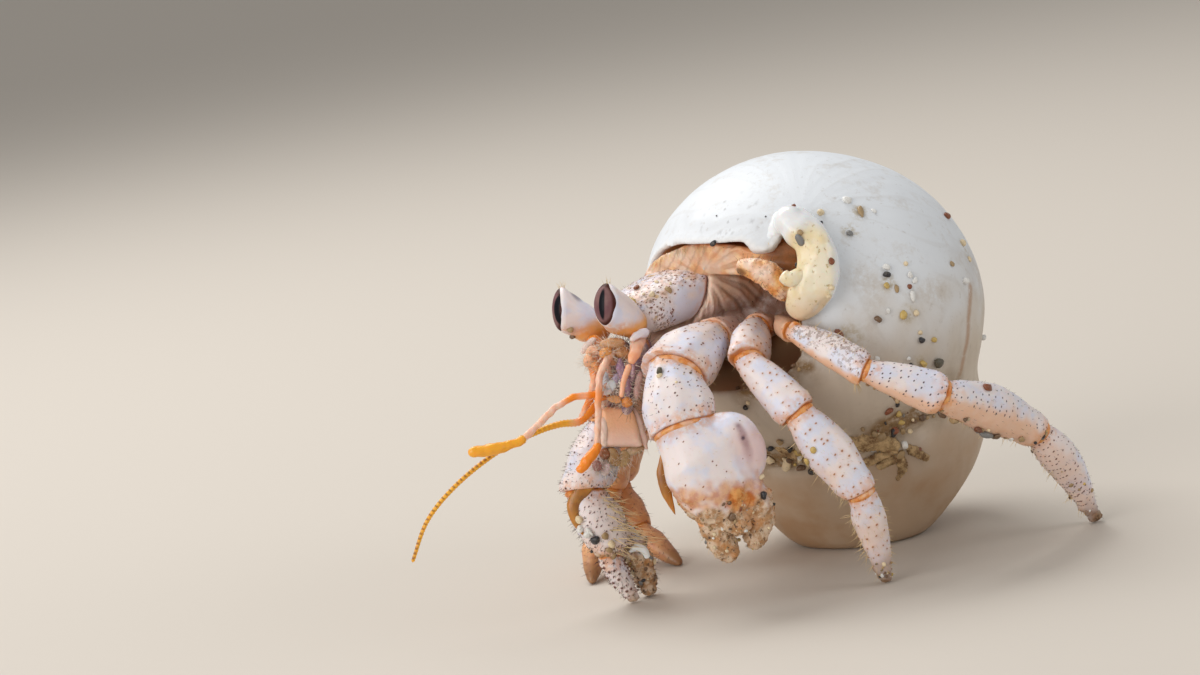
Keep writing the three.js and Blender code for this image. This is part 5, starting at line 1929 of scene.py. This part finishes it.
def hairs(name, roots, material, slot):
    """One mesh of many hairs. Each root is a point, a direction, a length, a thickness, a bend and its place
    on the unwrap of the plate that it grows from."""
    shape, sides = hair_shape()
    corners, faces, places = [], [], []
    rng = np.random.default_rng(len(roots))
    for spot, direction, size, thick, bend, unwrap in roots:
        turn = np.array(Vector(direction).to_track_quat("Z", "Y").to_matrix())
        local = shape * (thick / 2, thick / 2, size)
        lean = rng.uniform(0, 2 * math.pi)
        sag = bend * size * (shape[:, 2] ** 2)
        local[:, 0] += sag * math.cos(lean)
        local[:, 1] += sag * math.sin(lean)
        base = len(corners) * len(shape)
        corners.append(local @ turn.T + np.asarray(spot) - np.asarray(direction) * 0.08)
        faces += [tuple(base + i for i in side) for side in sides]
        patch = np.asarray(unwrap) + np.stack([shape[:, 2], shape[:, 0] * 0.5 + 0.5], 1) * 0.003
        places.append(patch)
    mesh = bpy.data.meshes.new(name)
    mesh.from_pydata((np.vstack(corners) * MM).tolist(), [], faces)
    layer = mesh.uv_layers.new(name="OFBake")
    order = np.empty(len(mesh.loops), np.int64)
    mesh.loops.foreach_get("vertex_index", order)
    layer.data.foreach_set("uv", np.vstack(places)[order].ravel())
    piece = bpy.data.objects.new(name, mesh)
    bpy.context.scene.collection.objects.link(piece)
    finish(piece, material, slot)


UNWRAP_CELLS = 7  # plates along each side of the shared unwrap


def unwrapper(piece, number):
    """Unwraps a plate round its own long axis into one cell of the shared map."""
    points = points_of(piece)
    middle = points.mean(0)
    _, axes = np.linalg.eigh(np.cov((points - middle).T))
    reach = np.abs((points - middle) @ axes[:, 2]).max()
    cell = np.array([number % UNWRAP_CELLS, number // UNWRAP_CELLS]) / UNWRAP_CELLS

    def place(spot):
        out = np.asarray(spot) - middle
        round_it = math.atan2(out @ axes[:, 1], out @ axes[:, 0]) / (2 * math.pi) + 0.5
        up_it = (out @ axes[:, 2] / reach + 1) / 2
        return cell + np.array([round_it, up_it]) * 0.9 / UNWRAP_CELLS

    return place


# Plate, spacing, length, thickness, how far they lie over towards the limb's tip, and kind.
BRISTLES = (
    ("claw_major_merus_plate", 1.3, 0.45, 0.045, 0.6, "golden"),
    ("claw_major_carpus_plate", 1.1, 0.40, 0.045, 0.6, "dark"),
    ("claw_major_palm_plate", 1.1, 0.35, 0.045, 0.6, "golden"),
    ("claw_major_finger_plate", 0.7, 0.5, 0.045, 0.6, "golden"),
    ("claw_minor_carpus_plate", 0.55, 0.42, 0.05, 0.5, "dark"),
    ("claw_minor_palm_plate", 0.5, 0.55, 0.045, 0.5, "dark"),
    ("claw_minor_finger_plate", 0.42, 0.4, 0.06, 0.5, "dark"),
    ("leg_front_L_merus_plate", 1.1, 0.45, 0.04, 0.6, "golden"),
    ("leg_front_L_carpus_plate", 0.8, 0.40, 0.04, 0.7, "golden"),
    ("leg_front_L_propodus_plate", 0.7, 0.45, 0.04, 0.7, "golden"),
    ("leg_front_L_dactyl_plate", 0.6, 0.55, 0.045, 0.7, "golden"),
    ("leg_back_L_merus_plate", 0.9, 0.5, 0.04, 0.6, "golden"),
    ("leg_back_L_carpus_plate", 1.0, 0.28, 0.035, 0.9, "dark"),
    ("leg_back_L_propodus_plate", 1.0, 0.28, 0.035, 0.9, "dark"),
    ("leg_back_L_dactyl_plate", 0.9, 0.30, 0.04, 0.9, "dark"),
    ("leg_front_R_dactyl_plate", 0.7, 0.5, 0.045, 0.7, "dark"),
    ("leg_front_R_propodus_plate", 0.8, 0.5, 0.045, 0.7, "dark"),
    ("leg_back_R_dactyl_plate", 0.7, 0.5, 0.045, 0.7, "dark"),
    ("leg_back_R_propodus_plate", 0.8, 0.5, 0.045, 0.7, "dark"),
    ("maxilliped_palp_L", 0.35, 1.0, 0.04, 0.5, "dark"),
    ("maxilliped_palp_R", 0.35, 1.0, 0.04, 0.5, "dark"),
    ("mouth_scales", 0.27, 0.85, 0.055, 0.4, "pale"),
    ("head_shield", 1.0, 0.35, 0.04, 0.6, "golden"),
    ("fourth_leg_L", 0.5, 0.6, 0.04, 0.6, "dark"),
    ("fourth_leg_R", 0.5, 0.6, 0.04, 0.6, "dark"),
)


def bristles():
    """Short hairs over the plates, golden or dark."""
    batches = {"golden": [], "dark": [], "pale": []}
    for number, (name, spacing, size, thick, lean, kind) in enumerate(BRISTLES):
        piece = bpy.data.objects[name]
        points, normals = points_of(piece), normals_of(piece)
        rng = np.random.default_rng(number + 40)
        away = points - np.array([-2.0, -1.0, 22.0])
        away /= np.linalg.norm(away, axis=1)[:, None]
        place = unwrapper(piece, number)
        room = points[:, 2] > size * 0.6 + 0.15
        if name == "mouth_scales":
            room &= np.abs(points[:, 2] - MOUTH_PANEL[2]) > 2.0
        for i in spread(points, spacing, room, number + 9):
            direction = normals[i] + away[i] * lean + rng.normal(0, 0.16, 3)
            direction /= np.linalg.norm(direction)
            long = size * rng.uniform(0.6, 1.3)
            direction[2] = max(direction[2], -points[i][2] * 0.8 / long)
            batches[kind].append((points[i], direction, long, thick, 0.18, place(points[i])))
    hairs("golden_bristles", batches["golden"], golden_bristle(), "feelers")
    hairs("dark_bristles", batches["dark"], dark_bristle(), "mouthparts")
    hairs("mouth_hairs", batches["pale"], pale_hair(), "mouthparts")


def long_hairs():
    """Tufts of long hairs on the small claw, left walking legs and eyestalks, and the outer lip's fringe."""
    roots = []
    rng = np.random.default_rng(77)
    tufts = (
        ("claw_minor_carpus_plate", (0.95, -0.15, 0.1), 14, 1.0, 0.07),
        ("leg_front_L_propodus_plate", (-0.8, -0.2, -0.5), 16, 1.0, 0.07),
        ("leg_front_L_dactyl_plate", (-0.9, -0.1, -0.3), 24, 1.0, 0.07),
        ("leg_back_L_merus_plate", (0.0, -0.3, 0.95), 10, 1.0, 0.07),
        ("leg_back_L_merus_plate", (0.0, -0.3, -0.95), 10, 0.9, 0.07),
        ("leg_back_L_dactyl_plate", (-0.5, 0.0, -0.85), 26, 0.8, 0.07),
        ("leg_back_L_propodus_plate", (-0.3, 0.0, -0.95), 16, 0.7, 0.07),
        ("leg_front_L_merus_plate", (0.8, 0.2, 0.1), 12, 1.2, 0.07),
    )
    for number, (name, way, count, size, thick) in enumerate(tufts):
        piece = bpy.data.objects[name]
        points, normals = points_of(piece), normals_of(piece)
        place = unwrapper(piece, number + 25)
        side = np.flatnonzero((normals @ np.array(way) > 0.82) & (points[:, 2] > 1.2))
        for i in rng.choice(side, min(count, len(side)), replace=False):
            direction = normals[i] * 0.8 + np.array([0, 0, -0.35]) + rng.normal(0, 0.22, 3)
            direction /= np.linalg.norm(direction)
            roots.append((points[i], direction, size * rng.uniform(0.5, 1.2), thick, 0.3, place(points[i])))
    piece = bpy.data.objects["claw_minor_palm_plate"]
    points, normals = points_of(piece), normals_of(piece)
    place = unwrapper(piece, 35)
    side = np.flatnonzero((normals @ np.array(ACROSS) > 0.35) & (normals[:, 1] < 0.2) & (points[:, 2] > 4.6))
    for i in rng.choice(side, 60, replace=False):
        direction = np.array(ACROSS) - np.array(AWAY) * 0.6 + np.array(UPRIGHT) * rng.normal(-0.2, 0.22)
        direction += rng.normal(0, 0.12, 3)
        direction /= np.linalg.norm(direction)
        roots.append((points[i], direction, rng.uniform(1.5, 2.6), 0.10, 0.12, place(points[i])))
    hairs("long_golden_hairs", roots, golden_bristle(), "feelers")
    roots = []
    for side, (middle, facing, (_, tall), _) in EYES.items():
        piece = bpy.data.objects[f"eyestalk_plate_{side}"]
        points, normals = points_of(piece), normals_of(piece)
        place = unwrapper(piece, 36 + (side == "R"))
        tip = np.array(middle) + np.array(UPRIGHT) * tall - np.array(facing.normalized()) * 0.4
        for i in np.argsort(np.linalg.norm(points - tip, axis=1))[: 8 * 9 : 8]:
            direction = normals[i] * 0.4 + np.array(UPRIGHT) + rng.normal(0, 0.22, 3)
            direction /= np.linalg.norm(direction)
            roots.append((points[i], direction, rng.uniform(0.4, 0.8), 0.05, 0.15, place(points[i])))
    hairs("eye_tufts", roots, golden_bristle(), "feelers")
    lip_fringe()


FRINGE_ROUTE = (
    (-5.2, 0.6, 27.0),
    (-4.2, -0.3, 27.6),
    (-3.0, -1.4, 28.1),
    (-1.8, -2.6, 28.3),
    (-0.6, -3.6, 28.3),
)


def lip_fringe():
    """Fine golden hairs that line the gap between the outer lip and the head shield."""
    rng = np.random.default_rng(60)
    place = unwrapper(bpy.data.objects["head_shield"], 40)
    roots = []
    for spot in smooth_route(FRINGE_ROUTE, 46):
        spot = np.array(spot) + rng.normal(0, 0.06, 3)
        direction = np.array([-0.35, -0.1, -0.95]) + rng.normal(0, 0.07, 3)
        direction /= np.linalg.norm(direction)
        roots.append((spot, direction, rng.uniform(0.7, 1.2), 0.05, 0.12, place(spot)))
    hairs("lip_fringe", roots, golden_bristle(), "feelers")


# Grains placed one by one on the limbs and the head: plate, place, width, length and kind.
LIMB_GRAINS = (
    ("head_shield", (-5.6, -4.2, 25.3), 0.60, 0.70, "cream"),
    ("head_shield", (-4.2, -3.7, 25.3), 0.55, 0.70, "tan"),
    ("eyestalk_plate_R", (-12.9, -3.2, 23.4), 0.65, 0.75, "tan"),
    ("eyestalk_plate_R", (-12.7, -2.6, 22.5), 0.50, 0.55, "brown"),
    ("leg_back_L_propodus_plate", (18.5, -13.2, 10.9), 0.70, 0.90, "grey"),
    ("leg_back_L_propodus_plate", (19.3, -12.8, 10.4), 1.00, 1.40, "grey"),
    ("leg_back_L_propodus_plate", (20.2, -12.2, 10.2), 0.80, 1.00, "brown"),
    ("leg_back_L_propodus_plate", (16.4, -14.4, 11.9), 0.80, 1.10, "tan"),
    ("leg_back_L_propodus_plate", (14.9, -16.2, 17.0), 0.90, 1.10, "cream"),
    ("leg_back_L_propodus_plate", (15.1, -16.4, 16.6), 0.60, 0.70, "yellow"),
    ("leg_back_L_propodus_plate", (20.6, -14.2, 15.4), 0.85, 0.95, "rust"),
    ("leg_front_L_propodus_plate", (4.9, -16.4, 12.4), 0.70, 0.70, "yellow"),
    ("leg_front_L_propodus_plate", (4.0, -15.4, 11.2), 0.70, 0.80, "yellow"),
    ("claw_major_palm_plate", (0.4, -16.3, 9.4), 0.80, 0.95, "dark"),
    ("claw_major_palm_plate", (0.8, -15.8, 10.8), 0.60, 0.80, "cream"),
    ("claw_major_palm_plate", (-2.2, -17.6, 8.4), 0.80, 0.90, "brown"),
    ("head_shield", (-7.55, -4.38, 25.31), 0.80, 0.95, "yellow"),
    ("head_shield", (-6.95, -2.59, 26.06), 0.55, 0.60, "rust"),
    ("claw_major_carpus_plate", (-6.6, -13.94, 20.86), 0.75, 0.85, "olive"),
    ("claw_major_carpus_plate", (-6.34, -13.97, 20.41), 0.50, 0.60, "cream"),
    ("claw_minor_palm_plate", (-15.73, -9.22, 8.14), 0.85, 1.00, "cream"),
    ("claw_minor_palm_plate", (-15.38, -9.44, 7.19), 0.75, 0.90, "white"),
    ("claw_minor_palm_plate", (-14.94, -9.46, 6.27), 0.90, 1.00, "white"),
    ("claw_minor_palm_plate", (-14.33, -9.45, 6.94), 0.70, 0.90, "white"),
    ("claw_minor_palm_plate", (-13.82, -9.47, 6.43), 0.85, 1.20, "dark"),
    ("claw_minor_palm_plate", (-12.56, -9.46, 6.48), 0.80, 0.90, "tan"),
    ("claw_minor_palm_plate", (-12.0, -9.28, 5.75), 0.80, 0.90, "cream"),
    ("claw_minor_palm_plate", (-12.43, -9.28, 5.14), 0.70, 0.90, "tan"),
    ("claw_major_finger_plate", (1.0, -15.8, 9.78), 0.80, 0.90, "dark"),
    ("claw_major_finger_plate", (0.59, -15.8, 9.18), 0.70, 0.90, "cream"),
)


def crust_sand():
    """Loose grains sticking to the crusted ends of the claws and the undersides of the legs."""
    places = []
    rng = np.random.default_rng(21)
    spots = (
        ("claw_major_palm_plate", 90, (0.14, 0.45), lambda p, n: p[:, 2] < 9.8),
        ("claw_major_finger_plate", 60, (0.14, 0.45), lambda p, n: p[:, 2] > 1.0),
        ("claw_minor_palm_plate", 80, (0.18, 0.65), lambda p, n: (p[:, 2] < 5.4) & (p[:, 2] > 0.4)),
        ("leg_back_L_propodus_plate", 30, (0.30, 0.85), lambda p, n: (n[:, 2] < -0.6) & (p[:, 0] > 15)),
        ("leg_back_L_carpus_plate", 10, (0.25, 0.6), lambda p, n: n[:, 2] < -0.7),
        ("leg_back_L_dactyl_plate", 12, (0.18, 0.4), lambda p, n: (n[:, 2] < -0.2) & (p[:, 2] > 0.5)),
        ("leg_front_L_dactyl_plate", 20, (0.18, 0.4), lambda p, n: (p[:, 2] < 2.2) & (p[:, 2] > 0.4)),
        ("head_shield", 14, (0.14, 0.40), lambda p, n: n[:, 2] > 0.3),
        ("body_skin", 10, (0.12, 0.35), lambda p, n: (n[:, 1] < -0.4) & (p[:, 2] > 20)),
        ("claw_major_carpus_plate", 8, (0.15, 0.45), lambda p, n: n[:, 1] < -0.3),
    )
    for name, count, (small, big), where in spots:
        piece = bpy.data.objects[name]
        points, normals = points_of(piece), normals_of(piece)
        for i in rng.choice(np.flatnonzero(where(points, normals)), count):
            size = small + (big - small) * rng.random() ** 2.2
            if points[i][2] > size:
                places.append((points[i], normals[i], size, size * rng.uniform(1.0, 1.4), shade_of_sand(rng)))
    for name, spot, width, long, kind in LIMB_GRAINS:
        near, normal, _, _ = piece_tree(bpy.data.objects[name]).find_nearest(Vector(spot))
        places.append((near, normal, width, long, GRAIN_COLOURS[kind]))
    finish(grains("stuck_sand", places, 30), sand(), "plates")


def leaf(name, route, widths, flat, material, slot, rim=0.0):
    """A thin pointed blade: a tube drawn along a route and flattened from front to back."""
    blade = tube(name, route, widths, 24, 14)
    points = points_of(blade)
    depth = (points - points.mean(0)) @ np.array(AWAY)
    move_points(blade, points - np.outer(depth * (1 - flat), np.array(AWAY)))
    push(blade, clouds(points, 0.6) * 0.04)
    paint(blade, "rim", np.full(len(points), rim))
    finish(blade, material, slot)


def loose_blades():
    """The golden crescent behind the big palm, the membrane of the small claw and a chip of white shell."""
    leaf("claw_crescent", LEAF_ROUTE, (0.15, 0.5, 0.42, 0.04), 0.5, golden_leaf(), "feelers")
    leaf("claw_membrane", MEMBRANE_ROUTE, (0.25, 0.65, 0.7, 0.45, 0.1), 0.4, golden_leaf(), "feelers")
    leaf("white_chip", FRAGMENT_ROUTE, (0.22, 0.34, 0.34, 0.22), 0.8, porcelain(), "pearl", rim=1.0)


# ---------------------------------------------------------------- stage


def floor():
    looks = scene_settings("stage")
    deselect()
    bpy.ops.mesh.primitive_plane_add(size=6.0, location=(0, 0, 0))
    ground = bpy.context.object
    ground.name = "studio_floor"
    s = Shades("floor_paint", Roughness=0.85)
    s.surface.inputs["Base Color"].default_value = (*looks.floor, 1)
    ground.data.materials.append(s.material)


def light(name, spot, aim, size, power, tone):
    deselect()
    turn = (Vector(aim) - Vector(spot)).to_track_quat("-Z", "Y")
    bpy.ops.object.light_add(type="AREA", location=spot, rotation=turn.to_euler())
    lamp = bpy.context.object
    lamp.name = name
    lamp.data.size = size
    lamp.data.energy = power
    lamp.data.color = tone


# Lamps: name, place and size in metres, power in watts and colour.
LAMPS = (
    ("overhead", (-0.16, 0.20, 0.40), 0.34, 1.62, (1.0, 0.99, 0.97)),
    ("front", (-0.34, -0.36, 0.20), 0.40, 1.35, (1.0, 0.97, 0.94)),
    ("side", (0.40, -0.16, 0.22), 0.24, 0.35, (0.96, 0.98, 1.0)),
)
LAMP_AIM = (0.0, 0.0, 0.018)


def lights():
    looks = scene_settings("stage")
    bpy.context.scene.view_settings.view_transform = "Standard"
    for name, spot, size, power, tone in LAMPS:
        light(name, spot, LAMP_AIM, size, power, tone)
    world = bpy.data.worlds.new("soft_studio")
    world.use_nodes = True
    world.node_tree.nodes["Background"].inputs["Color"].default_value = (*looks.sky, 1)
    world.node_tree.nodes["Background"].inputs["Strength"].default_value = 0.40
    bpy.context.scene.world = world


def camera():
    looks = scene_settings("stage")
    turn = camera_turn(looks.tilt, looks.roll)
    deselect()
    bpy.ops.object.camera_add(location=Vector(CAMERA_SPOT) * MM, rotation=turn.to_euler())
    eye = bpy.context.object
    eye.name = "camera"
    eye.data.lens = LENS
    eye.data.sensor_width = SENSOR
    eye.data.clip_start = 0.01
    eye.data.clip_end = 20
    bpy.context.scene.camera = eye


# ---------------------------------------------------------------- operators


class MakeShell(bpy.types.Operator):
    """Makes the snail shell, its porcelain lip and tooth, and the sand stuck to them"""

    bl_idname = "crab.shell"
    bl_label = "Snail shell"

    def execute(self, context):
        shell, seam = snail_shell()
        lip = columella_lip()
        tooth = tube("columella_tooth", TOOTH_ROUTE, (0.12, 0.44, 0.62, 0.66, 0.50), 26, 16)
        finish(tooth, porcelain(), "pearl")
        shell_sand(shell, lip, seam)
        return {"FINISHED"}


class MakeLimbs(bpy.types.Operator):
    """Makes the plates of the claws and walking legs, and the soft skin in their joints"""

    bl_idname = "crab.limbs"
    bl_label = "Claws and legs"

    def execute(self, context):
        for limb, parts in LIMBS.items():
            for part in parts:
                plate(limb, part)
        joint_skins()
        loose_blades()
        return {"FINISHED"}


class MakeBody(bpy.types.Operator):
    """Makes the head shield, the soft body skin, the fourth legs and the mouthparts"""

    bl_idname = "crab.body"
    bl_label = "Head and body"

    def execute(self, context):
        shield()
        body_skin()
        fourth_legs()
        mouthparts()
        mouth_scales()
        return {"FINISHED"}


class MakeEyes(bpy.types.Operator):
    """Makes the eyestalks and the corneas"""

    bl_idname = "crab.eyes"
    bl_label = "Eyes"

    def execute(self, context):
        eyes()
        return {"FINISHED"}


class MakeFeelers(bpy.types.Operator):
    """Makes the antennae and antennules"""

    bl_idname = "crab.feelers"
    bl_label = "Feelers"

    def execute(self, context):
        feelers()
        return {"FINISHED"}


class MakeBristles(bpy.types.Operator):
    """Makes the hairs, and the sand that clings to the limbs"""

    bl_idname = "crab.bristles"
    bl_label = "Bristles and sand"

    def execute(self, context):
        bristles()
        long_hairs()
        crust_sand()
        return {"FINISHED"}


class MakeStage(bpy.types.Operator):
    """Makes the floor, the lights and the camera"""

    bl_idname = "crab.stage"
    bl_label = "Stage"

    def execute(self, context):
        floor()
        lights()
        camera()
        return {"FINISHED"}


STEPS = (MakeShell, MakeLimbs, MakeBody, MakeEyes, MakeFeelers, MakeBristles, MakeStage)
SETTINGS = {
    "shell": ShellSettings,
    "cuticle": CuticleSettings,
    "eye": EyeSettings,
    "feeler": FeelerSettings,
    "stage": StageSettings,
}


class CrabPanel(bpy.types.Panel):
    """Lists the steps in the order in which they are run"""

    bl_idname = "VIEW3D_PT_hermit_crab"
    bl_label = "Hermit crab"
    bl_space_type = "VIEW_3D"
    bl_region_type = "UI"
    bl_category = "Hermit crab"

    def draw(self, context):
        for step in STEPS:
            self.layout.operator(step.bl_idname)


def register():
    for kind in (*SETTINGS.values(), *STEPS, CrabPanel):
        bpy.utils.register_class(kind)
    for name, kind in SETTINGS.items():
        setattr(bpy.types.Scene, "crab_" + name, bpy.props.PointerProperty(type=kind))


def unregister():
    for name in SETTINGS:
        delattr(bpy.types.Scene, "crab_" + name)
    for kind in reversed((*SETTINGS.values(), *STEPS, CrabPanel)):
        bpy.utils.unregister_class(kind)


def main():
    register()
    for step in STEPS:
        group, name = step.bl_idname.split(".")
        getattr(getattr(bpy.ops, group), name)()


if __name__ == "__main__":
    main()
